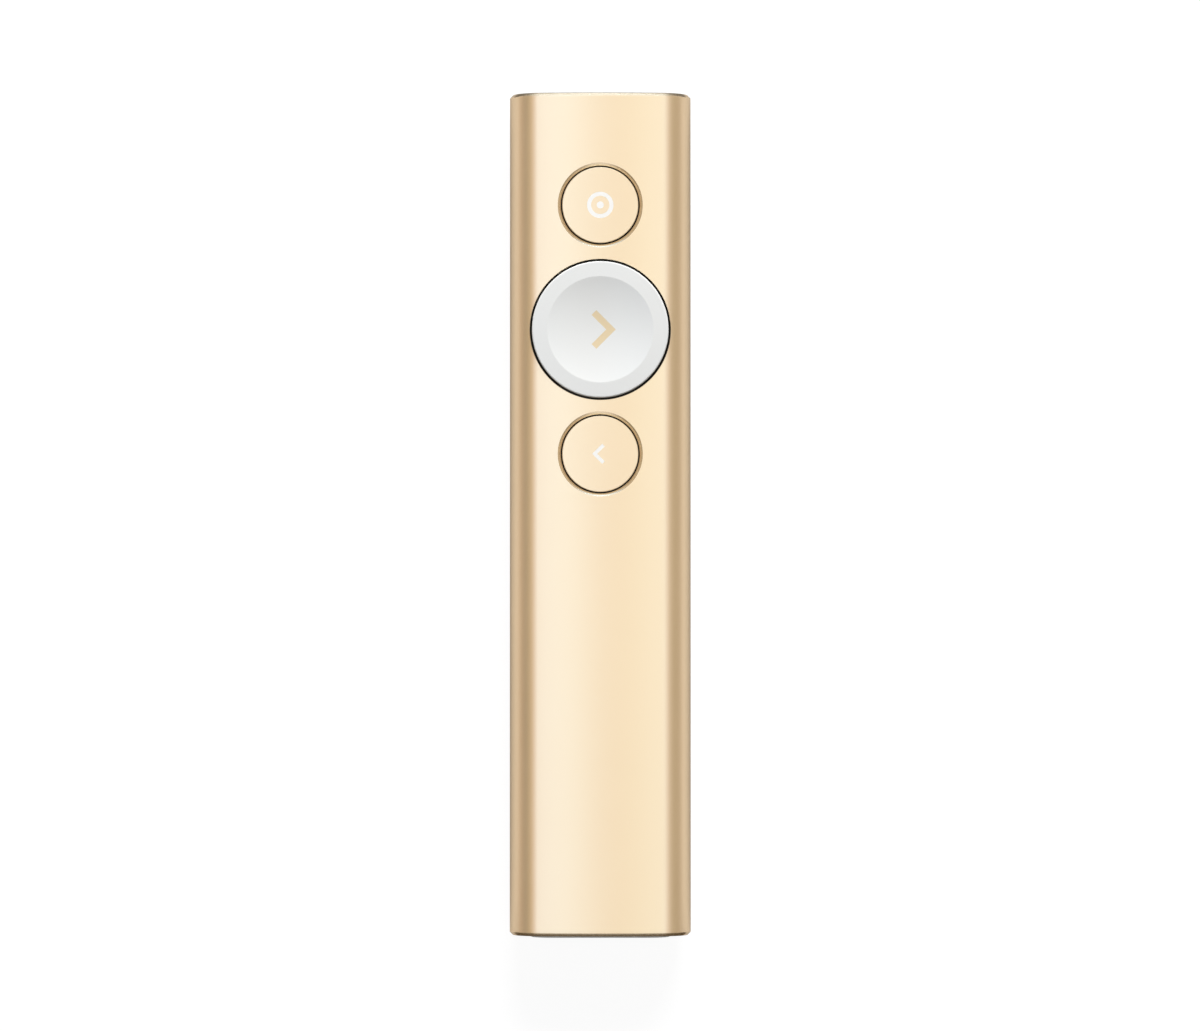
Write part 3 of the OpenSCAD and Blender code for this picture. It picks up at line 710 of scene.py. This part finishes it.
def build_body(sizes, buttons):
    section = Section(sizes)
    body = body_tube(section, sizes)
    rim = (sizes.rim_width, sizes.rim_depth)
    cutters = [
        hole_cutter(section, POINTER, buttons.small_gap, *rim),
        hole_cutter(section, BACK, buttons.small_gap, *rim),
        hole_cutter(section, NEXT, buttons.next_gap),
    ]
    combine(body, cutters)
    finish_piece(body, "body", "body_shell", "gold_anodised")
    rims = [(middle(b), radius_of(b) + buttons.small_gap) for b in (POINTER, BACK)]

    def is_cut(normal, place):
        """A chamfer's faces lean, and lie at an end of the body or in a rim."""
        beyond = sizes.end_chamfer + sizes.edge_round
        if place.y > BODY[1].y - beyond or place.y < BODY[0].y + beyond:
            return 0.2 < abs(normal.y) < 0.98
        return 0.5 < normal.z < 0.95 and any(
            0 < (place - centre).xy.length - radius < sizes.rim_width for centre, radius in rims
        )

    mark_cuts(body, is_cut)


# ---- the caps and their signs ----


def chevron(tip_x, arm, stroke, y, z0, z1, direction):
    """An upright prism of two square-ended arms that meet in a tip. direction is 1 for +X."""
    a, t = arm / math.sqrt(2), stroke / math.sqrt(2)
    corners = [(0, 0), (-a, a), (-a - t, a - t), (-2 * t, 0), (-a - t, t - a), (-a, -a)]
    bm = bmesh.new()
    verts = [bm.verts.new((direction * (tip_x + x), y + dy, z0)) for x, dy in corners]
    face = bm.faces.new(verts)
    made = bmesh.ops.extrude_face_region(bm, geom=[face])["geom"]
    lifted = [g for g in made if isinstance(g, bmesh.types.BMVert)]
    bmesh.ops.translate(bm, verts=lifted, vec=(0, 0, z1 - z0))
    return mesh_object("sign_outline", bm)


def ring_and_dot(sizes, centre, z0, z1):
    """An upright tube and a small post inside it."""
    outer = sizes.ring_diameter / 2
    inner = outer - sizes.ring_width
    line = Outline(bmesh.new(), inner, z0).line(outer, z0).line(outer, z1).line(inner, z1)
    line.close()
    place = (centre.x, centre.y, 0)
    ring = mesh_object("sign_outline", lathe(line, place, 96))
    return [ring, mesh_object("sign_outline", drum(sizes.dot_diameter / 2, z0, z1, place, 64))]


def small_cap(name, box, sizes):
    """A disc whose top is crowned across the body, with a fine rounded edge."""
    centre, radius = middle(box), radius_of(box)
    edge, crown = sizes.small_edge, sizes.small_crown
    top, foot = box[1].z, box[0].z
    line = Outline(bmesh.new(), 0, foot).line(radius - edge, foot).line(radius, foot + edge)
    line.line(radius, top - 6 * edge).line(radius, top - edge)
    line.arc(radius - edge, top - edge, QUARTER, 5)
    # Rings on the top let it take the crown.
    rings = 13
    for i in range(rings, -1, -1):
        line.line((radius - 2 * edge) * i / rings, top)
    bm = lathe(line, (0, centre.y, 0), 160)
    for vert in bm.verts:
        if vert.co.z > top - 3 * edge:
            vert.co.z += math.sqrt(crown**2 - vert.co.x**2) - crown
    return mesh_object(name, bm)


def inlay(cap, name, outlines):
    """Lets a sign into the cap. The same outlines cut the cap and keep the sign, a little lower."""
    sign = duplicate(cap, name)
    spare = [duplicate(o, o.name) for o in outlines]
    if len(spare) > 1:
        combine(spare[0], spare[1:], "UNION")
    combine(sign, spare[:1], "INTERSECT")
    combine(cap, outlines)
    sunk = 0.003 * MM
    sign.data.transform(Matrix.Translation((0, 0, -sunk)))
    return sign


def build_small_buttons(sizes):
    for key, box in (("pointer", POINTER), ("back", BACK)):
        cap = small_cap(key + "_button_top", box, sizes)
        span = (box[1].z - sizes.sign_depth, box[1].z + 1 * MM)
        if key == "pointer":
            outlines = ring_and_dot(sizes, middle(box), *span)
        else:
            arm = (sizes.back_tip, sizes.back_arm, sizes.back_stroke)
            outlines = [chevron(*arm, middle(box).y, *span, -1)]
        sign = inlay(cap, key + "_button_mark", outlines)
        finish_piece(cap, key + "_button", key + "_cap", "gold_anodised")
        finish_piece(sign, key + "_button", key + "_sign", "sign_white")


def build_next_button(sizes):
    """A broad white disc: a rim that falls a little outwards round a spherical dish."""
    centre, radius = middle(NEXT), radius_of(NEXT)
    top, foot, edge = NEXT[1].z, NEXT[0].z, sizes.next_edge
    dish, depth = sizes.dish_diameter / 2, sizes.dish_depth
    dish_radius = (dish**2 + depth**2) / (2 * depth)
    dish_angle = math.asin(dish / dish_radius)
    shelf = top - sizes.rim_fall
    slope = sizes.rim_fall / (radius - edge - dish)
    # Narrow faces beside an edge keep its rounding from tilting the wide ones.
    guard = 0.07 * MM
    line = Outline(bmesh.new(), 0, foot).line(radius - edge, foot).line(radius, foot + edge)
    line.line(radius, shelf - 3 * edge).line(radius, shelf - edge)
    line.arc(radius - edge, shelf - edge, QUARTER, 7)
    line.line(radius - edge - 2 * guard, shelf + slope * 2 * guard)
    line.line(dish + guard, top - slope * guard).line(dish, top)
    line.arc(0, top - depth + dish_radius, -guard / dish_radius, 1)
    line.arc(0, top - depth + dish_radius, guard / dish_radius - dish_angle, 28)
    cap = mesh_object("next_button_top", lathe(line, (0, centre.y, 0), 192))
    arm = (sizes.next_tip, sizes.next_arm, sizes.next_stroke)
    span = (top - depth - sizes.sign_depth, top + 1 * MM)
    sign = inlay(cap, "next_button_mark", [chevron(*arm, centre.y, *span, 1)])
    finish_piece(cap, "next_button", "next_cap", "white_gloss")
    finish_piece(sign, "next_button", "next_sign", "sign_gold")


# ---- both ends ----


def end_plate(name, section, box, inset, outer):
    """A plate that fits inside the body, with the edge of its outer face rounded."""
    bm = bmesh.new()
    bridge(bm, [section.loop(bm, box[0].y, inset), section.loop(bm, box[1].y, inset)])
    round_face(bm, outer, 0.25 * MM, 4)
    return mesh_object(name, bm)


def slot_prism(centre, width, height, y0, y1, radius=None):
    """A bar along the body with round corners, or with round sides if no radius is given."""
    return prism(
        lambda bm, y: rounded_outline(bm, centre, width, height, radius or height / 2, y, 20),
        y0, y1,
    )


def slot_tool(*shape):
    """The same bar as an object, to cut or to join with."""
    return mesh_object("slot_tool", slot_prism(*shape))


def grown(size, by):
    return size[0] + 2 * by, size[1] + 2 * by


def build_front_end(section, inset):
    """The front plate, with a shallow step round the light window."""
    centre, window = middle(LIGHT), face_size(LIGHT)
    back, face = FRONT_CAP[0].y, FRONT_CAP[1].y
    over, step_width, step_depth = 1 * MM, 0.35 * MM, 0.2 * MM
    front = end_plate("front_end_cap", section, FRONT_CAP, inset, face)
    combine(front, [
        slot_tool(centre, *window, back - over, face + over),
        slot_tool(centre, *grown(window, step_width), face - step_depth, face + over),
    ])
    finish_piece(front, "body", "front_cap", "grey_plastic", "smoke_plastic")

    outer = LIGHT[1].y - 0.1 * MM
    bm = slot_prism(centre, *window, LIGHT[0].y, outer)
    round_face(bm, outer, 0.15 * MM, 4)
    finish_piece(mesh_object("front_light_window", bm), "body", "light_pipe", "clear_plastic")


def build_tail_end(section, inset):
    """The tail plate: a recess for the receiver's head, the bay's mouth in it, and two screws."""
    centre, head, screws = middle(CASE), face_size(CASE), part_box("tail_screws")
    seat, over = screws[0].y, 1 * MM
    head_gap, bay_gap = 0.16 * MM, 0.2 * MM
    screw_x = screws[1].x - 1.2 * MM
    tail = end_plate("tail_end_cap", section, TAIL_CAP, inset, TAIL_CAP[0].y)
    cutters = [
        slot_tool(centre, *grown(head, head_gap), TAIL_CAP[0].y - over, seat),
        slot_tool(centre, *grown(SHANK, bay_gap), seat - over, TAIL_CAP[1].y + over, 0.3 * MM),
    ]
    for side in (-1, 1):
        bore = drum(1.25 * MM, -over, 0.75 * MM, ORIGIN, 48)
        turn(bore, -QUARTER, "X", (side * screw_x, seat, centre.z))
        cutters.append(mesh_object("cutter", bore))
    combine(tail, cutters)
    finish_piece(tail, "body", "tail_cap", "grey_plastic")
    softened_copy("tail_screws", "tail_end_screws", 0.06 * MM, "body", "screw_steel")


def build_ends(sizes):
    section, inset = Section(sizes), sizes.wall + 0.05 * MM
    build_front_end(section, inset)
    build_tail_end(section, inset)


# ---- the receiver ----


def nail_groove(place):
    """A cutter for a groove across the head, with rounded ends."""
    radius, reach, corner = 0.9 * MM, 5.5 * MM, 0.8 * MM
    line = Outline(bmesh.new(), 0, -reach).line(radius - corner, -reach)
    line.arc(radius - corner, corner - reach, QUARTER, 8).line(radius, reach - corner)
    line.arc(radius - corner, reach - corner, QUARTER, 8).line(0, reach)
    groove = lathe(line, ORIGIN, 64)
    turn(groove, QUARTER, "Y", place)
    return mesh_object("cutter", groove)


def block(size, place, corner=0.0):
    """A cutter with straight faces, and with round upright corners if asked for."""
    bm = bmesh.new()
    bmesh.ops.create_cube(bm, size=1)
    bmesh.ops.scale(bm, verts=bm.verts, vec=size)
    if corner:
        height = size[2] / 2
        upright = [e for e in bm.edges if abs(e.verts[0].co.z - e.verts[1].co.z) > height]
        bevel(bm, upright, corner, 4)
    bmesh.ops.translate(bm, verts=bm.verts, vec=place)
    return mesh_object("cutter", bm)


def build_receiver_head():
    """A slot-shaped head with a nail groove, and the case behind it, hollow for the plug."""
    centre, plug = middle(CASE), face_size(PLUG)
    width, height = face_size(CASE)
    tail, behind, inner = CASE[0].y, CASE[0].y + 3 * MM, CASE[1].y
    bm = prism(
        lambda bm, y: rounded_outline(bm, centre, width, height, height / 2, y, 32), tail, behind
    )
    round_face(bm, tail, 0.35 * MM, 6)
    round_face(bm, behind, 0.1 * MM, 2)
    head = mesh_object("receiver_head", bm)
    shank = slot_tool(centre, *SHANK, (tail + behind) / 2, inner, 0.8 * MM)
    combine(head, [shank], "UNION")
    combine(head, [
        slot_tool(centre, *plug, behind, inner + 1 * MM, 0.35 * MM),
        nail_groove((0, tail, centre.z - height / 4)),
    ])
    finish_piece(head, "receiver", "receiver_case", "grey_plastic")


def build_receiver_plug():
    """A folded steel tube with two windows, a seam below, and its tongue and contacts."""
    (width, height), (mouth, inner) = face_size(PLUG), (PLUG[1].y, PLUG[0].y)
    skin, corner = 0.3 * MM, 0.45 * MM
    # Size of a window, and how far its middle is from the plug's middle and from its mouth.
    window, aside, inside = (2.1 * MM, 2 * MM, 3 * height), 2.25 * MM, 5.8 * MM
    seam = (0.08 * MM, 30 * MM, 0.7 * MM)
    bm = bmesh.new()
    stations = [(inner, 0), (mouth, 0), (mouth - HAIR, skin), (inner + HAIR, skin)]
    loops = [
        rounded_outline(bm, middle(PLUG), width - 2 * d, height - 2 * d, corner - 0.6 * d, y, 8)
        for y, d in stations
    ]
    bridge(bm, loops, closed=True)
    round_face(bm, mouth, 0.09 * MM, 3)
    shell = mesh_object("receiver_plug", bm)
    cutters = [
        block(window, (side * aside, mouth - inside, middle(CASE).z), 0.25 * MM)
        for side in (-1, 1)
    ]
    combine(shell, [*cutters, block(seam, (0, mouth, PLUG[0].z))])
    finish_piece(shell, "receiver", "receiver_plug_shell", "plug_steel")
    for kind, offset, slot in (
        ("tongue", 0.12 * MM, "dark_plastic"), ("contacts", 0.03 * MM, "contact_gold"),
    ):
        softened_copy("receiver_" + kind, "receiver_plug_" + kind, offset, "receiver", slot)


def dress_nodes():
    """Gives each plain node its finish."""
    for slot, nodes in NODE_FINISHES.items():
        for node in nodes:
            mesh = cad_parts[node].data
            mesh.materials.clear()
            mesh.materials.append(finish_of(slot))


# ---- the stage ----


def stage_mesh(name, bm, material):
    made = mesh_object(name, bm, outwards=False)
    made.data.materials.append(material)
    return made


def surface_material(name):
    """A material with no nodes yet, and its tree."""
    material = bpy.data.materials.new(name)
    material.use_nodes = True
    material.node_tree.nodes.clear()
    return material, Nodes(material.node_tree)


def glow(name, stops, measure, strength=None):
    """A card's material, toned by its stops. measure(nodes) runs from 0 to 1 over the card."""
    material, nodes = surface_material(name)
    tone = nodes.node("ShaderNodeValToRGB", {"stops": stops}, {"Fac": measure(nodes)})
    power = strength(nodes) if strength else 1.0
    nodes.surface(nodes.node("ShaderNodeEmission", {}, {"Color": tone, "Strength": power}))
    return material


def only_in_reflections(piece):
    for ray in ("camera", "diffuse", "shadow", "transmission"):
        setattr(piece, "visible_" + ray, False)


def card(name, size, place, material, upright=False):
    """A flat rectangle that only reflections see, on the floor or upright across the body."""
    bm = bmesh.new()
    bmesh.ops.create_grid(bm, x_segments=1, y_segments=1, size=0.5)
    bmesh.ops.scale(bm, verts=bm.verts, vec=(*size, 1))
    turn(bm, QUARTER if upright else 0, "X", place)
    only_in_reflections(stage_mesh(name, bm, material))


def build_floor(half):
    """White to the camera, with a soft shadow. In reflections warm, with a painted shadow close to
    the body.
    """
    material, nodes = surface_material("floor_white")
    seen = nodes.light_path("Is Camera Ray")
    mirrored = nodes.light_path("Is Glossy Ray") + nodes.light_path("Is Transmission Ray")
    shade = nodes.node("ShaderNodeAmbientOcclusion", {"samples": 8}, {"Distance": 0.03}, "AO")
    # The paint is pale to other surfaces, dark to the camera and black in reflections.
    paint = 0.8 - seen * 0.64 - mirrored * 0.8
    away = nodes.node("ShaderNodeVectorMath", {"operation": "LENGTH"}, {0: nodes.place()}, "Value")
    # A glow whitens it to the camera, a little less near the body than far from it.
    near, far = (0.2, 0.92), (0.6, 1.0)
    # To mirrors the glow fades close to the body with ambient occlusion, as a painted shadow.
    strength = seen * nodes.spread(away, near, far) + mirrored * shade * shade * shade
    tone = nodes.blend(mirrored, (1, 1, 1), (0.84, 0.72, 0.6))
    painted = nodes.node("ShaderNodeBsdfDiffuse", {}, {"Color": paint})
    fill = nodes.node("ShaderNodeEmission", {}, {"Color": tone, "Strength": strength})
    nodes.surface(nodes.node("ShaderNodeAddShader", {}, {0: painted, 1: fill}))
    bm = bmesh.new()
    bmesh.ops.create_grid(bm, x_segments=1, y_segments=1, size=half)
    stage_mesh("floor", bm, material)


def build_sky(strength):
    """White where it is seen or reflected, and dimmer as a light."""
    world = bpy.data.worlds.new("studio")
    bpy.context.scene.world = world
    world.use_nodes = True
    world.node_tree.nodes.clear()
    nodes = Nodes(world.node_tree)
    shown = nodes.light_path("Is Camera Ray") + nodes.light_path("Is Glossy Ray")
    shown = shown + nodes.light_path("Is Transmission Ray")
    sockets = {"Color": (1, 1, 1, 1), "Strength": shown * (1 - strength) + strength}
    nodes.surface(nodes.node("ShaderNodeBackground", {}, sockets), "ShaderNodeOutputWorld")


def build_silk(radius, half):
    """Half a tube of silk over the body, which only reflections see."""
    # Degrees from straight overhead, positive towards +X: warm sides, and a warm strip between
    # two white ones.
    bands = [
        (-90, (0.65, 0.45, 0.3)), (-60, (0.3, 0.25, 0.18)), (-40, (0.65, 0.45, 0.2)),
        (-27, (0.95, 0.75, 0.7)), (-15, (1.4, 1.6, 1.85)), (-7, (1.25, 1.35, 1.4)),
        (3, (0.85, 0.55, 0.3)), (13, (1.2, 1.2, 1.05)), (24, (1.3, 1.35, 1.4)),
        (36, (0.9, 0.7, 0.6)), (50, (0.45, 0.35, 0.2)), (90, (0.5, 0.38, 0.27)),
    ]
    # Dimmer beyond the tail than over the body.
    dim, full = (-1.1, 0.62), (-0.2, 1)

    def angle(nodes):
        sides = {0: nodes.along(0), 1: nodes.along(2)}
        return nodes.node("ShaderNodeMath", {"operation": "ARCTAN2"}, sides) / math.pi + 0.5

    bm = bmesh.new()
    ends = [bm.verts.new((radius, y, 0)) for y in (-half, half)]
    edge = bm.edges.new(ends)
    spin(bm, [*ends, edge], ORIGIN, X_TO_Z, math.pi, 48)
    stops = [(degrees / 180 + 0.5, tone) for degrees, tone in bands]
    toned = glow("silk_glow", stops, angle, lambda nodes: nodes.spread(nodes.along(1), dim, full))
    only_in_reflections(stage_mesh("silk_tunnel", bm, toned))


def build_floor_cards():
    """Cards on the floor beyond both ends, toned from the body outwards, which only reflections
    see. Where they are dark next to the body, that is painted shadow.
    """
    # The front card: painted shadow next to the body, then bright further out.
    front = [
        (0, (0.05, 0.035, 0.02)), (0.16, (0.12, 0.09, 0.05)), (0.27, (1.6, 1.75, 1.9)),
        (0.4, (2.2, 2.4, 2.7)), (1, (1.8, 1.9, 2)),
    ]
    # The tail card: dark all the way out, with painted shadow next to the body.
    tail = [(0, (0.08, 0.05, 0.02)), (1, (0.12, 0.08, 0.04))]
    gap, above = 5 * MM, 0.4 * MM
    for name, end, width, length, stops in (
        ("front_shade_and_light_card", BODY[1].y, 0.08, 0.3, front), ("tail_shade_card", BODY[0].y, 0.3, 0.9, tail),
    ):
        side = math.copysign(1, end)
        inner, outer = end + side * gap, end + side * (gap + length)
        toned = glow(
            name + "_glow", stops,
            lambda nodes: nodes.spread(nodes.along(1), (inner, 0), (outer, 1)),
        )
        card(name, (width, length), (0, (inner + outer) / 2, above), toned)


def build_end_cards(radius, half):
    """An upright card at each end of the silk."""
    # From the floor up, and from the middle out to both sides.
    front = [
        (0, (0.4, 0.32, 0.22)), (0.1, (0.7, 0.62, 0.5)), (0.3, (1.1, 1.35, 1.6)),
        (1, (1.6, 1.8, 2.1)),
    ]
    tail = [
        (0, (0.9, 0.85, 0.8)), (0.25, (0.9, 0.82, 0.75)), (0.45, (0.6, 0.52, 0.42)),
        (0.65, (0.3, 0.26, 0.2)), (1, (0.2, 0.16, 0.1)),
    ]
    dim, full = (0.2, 0.1), (0.5, 1)

    def rise(nodes):
        return nodes.along(2) / radius

    def aside(nodes):
        across = nodes.along(0) / radius
        return nodes.node("ShaderNodeMath", {"operation": "ABSOLUTE"}, {0: across})

    for name, y, stops, measure, strength in (
        ("front_card", half, front, rise, lambda nodes: 1.05 - aside(nodes) * 0.95),
        ("tail_card", -half, tail, aside, lambda nodes: nodes.spread(nodes.along(2), dim, full)),
    ):
        toned = glow(name + "_glow", stops, measure, strength)
        card(name, (2 * radius, radius), (0, y, radius / 2), toned, upright=True)


def build_key(power):
    """The one lamp, beyond the pointer end. Its mirror image is kept out of the gold."""
    place = Vector((0.25, 1.75, 0.93))
    data = bpy.data.lights.new("key", "AREA")
    data.shape, data.size, data.size_y = "RECTANGLE", 1.2, 0.8
    data.energy = power
    key = bpy.data.objects.new("key", data)
    key.location = place
    key.rotation_euler = (-place).to_track_quat("-Z", "Y").to_euler()
    key.visible_glossy = False
    bpy.context.scene.collection.objects.link(key)


def build_camera(stage):
    data = bpy.data.cameras.new("camera")
    data.sensor_fit, data.sensor_width = "HORIZONTAL", 36
    aim = Vector((-stage.camera_left, 0, BODY[1].z / 2))
    place = Vector((-stage.camera_left, -stage.camera_back, stage.camera_height))
    data.lens = data.sensor_width * (place - aim).length / stage.view_width
    data.clip_start, data.clip_end = 0.01, 50
    camera = bpy.data.objects.new("camera", data)
    camera.location = place
    camera.rotation_euler = (aim - place).to_track_quat("-Z", "Y").to_euler()
    bpy.context.scene.collection.objects.link(camera)
    bpy.context.scene.camera = camera


# ---- the add-on ----


class CLICKER_OT_finishes(bpy.types.Operator):
    """Make every material and give the plain nodes theirs"""

    bl_idname = "clicker.finishes"
    bl_label = "Finishes"

    def execute(self, context):
        make_finishes(context.scene.clicker_finish)
        dress_nodes()
        return {"FINISHED"}


class CLICKER_OT_body(bpy.types.Operator):
    """Build the aluminium body with its three holes"""

    bl_idname = "clicker.body"
    bl_label = "Body"

    def execute(self, context):
        build_body(context.scene.clicker_body, context.scene.clicker_buttons)
        return {"FINISHED"}


class CLICKER_OT_small_buttons(bpy.types.Operator):
    """Build the pointer and back caps with their signs"""

    bl_idname = "clicker.small_buttons"
    bl_label = "Pointer and back buttons"

    def execute(self, context):
        build_small_buttons(context.scene.clicker_buttons)
        return {"FINISHED"}


class CLICKER_OT_next_button(bpy.types.Operator):
    """Build the dished white cap with its sign"""

    bl_idname = "clicker.next_button"
    bl_label = "Next button"

    def execute(self, context):
        build_next_button(context.scene.clicker_buttons)
        return {"FINISHED"}


class CLICKER_OT_ends(bpy.types.Operator):
    """Build both end caps, the light window and the tail screws"""

    bl_idname = "clicker.ends"
    bl_label = "Ends"

    def execute(self, context):
        build_ends(context.scene.clicker_body)
        return {"FINISHED"}


class CLICKER_OT_receiver(bpy.types.Operator):
    """Build the receiver's head and plug"""

    bl_idname = "clicker.receiver"
    bl_label = "Receiver"

    def execute(self, context):
        build_receiver_head()
        build_receiver_plug()
        return {"FINISHED"}


class CLICKER_OT_stage(bpy.types.Operator):
    """Set up the floor, sky, silk, cards, lamp and camera"""

    bl_idname = "clicker.stage"
    bl_label = "Stage"

    def execute(self, context):
        stage = context.scene.clicker_stage
        context.scene.view_settings.view_transform = "Standard"
        silk_radius, silk_half = 2, 2.8
        build_floor(6)
        build_sky(stage.sky)
        build_silk(silk_radius, silk_half)
        build_floor_cards()
        build_end_cards(silk_radius, silk_half)
        build_key(stage.key_power)
        build_camera(stage)
        return {"FINISHED"}


STEPS = (
    CLICKER_OT_finishes, CLICKER_OT_body, CLICKER_OT_small_buttons, CLICKER_OT_next_button,
    CLICKER_OT_ends, CLICKER_OT_receiver, CLICKER_OT_stage,
)
GROUPS = {
    "clicker_body": ClickerBody,
    "clicker_buttons": ClickerButtons,
    "clicker_finish": ClickerFinish,
    "clicker_stage": ClickerStage,
}


class CLICKER_PT_panel(bpy.types.Panel):
    """Sizes, finishes and steps of the clicker"""

    bl_label = "Clicker"
    bl_idname = "CLICKER_PT_panel"
    bl_space_type = "VIEW_3D"
    bl_region_type = "UI"
    bl_category = "Clicker"

    def draw(self, context):
        for key in GROUPS:
            box = self.layout.box()
            group = getattr(context.scene, key)
            for name in group.__annotations__:
                box.prop(group, name)
        for step in STEPS:
            self.layout.operator(step.bl_idname)


CLASSES = (*GROUPS.values(), *STEPS, CLICKER_PT_panel)


def register():
    for cls in CLASSES:
        bpy.utils.register_class(cls)
    for key, group in GROUPS.items():
        setattr(bpy.types.Scene, key, bpy.props.PointerProperty(type=group))


def unregister():
    for key in GROUPS:
        delattr(bpy.types.Scene, key)
    for cls in reversed(CLASSES):
        bpy.utils.unregister_class(cls)


def main():
    register()
    for step in STEPS:
        group, name = step.bl_idname.split(".")
        getattr(getattr(bpy.ops, group), name)()


if __name__ == "__main__":
    main()
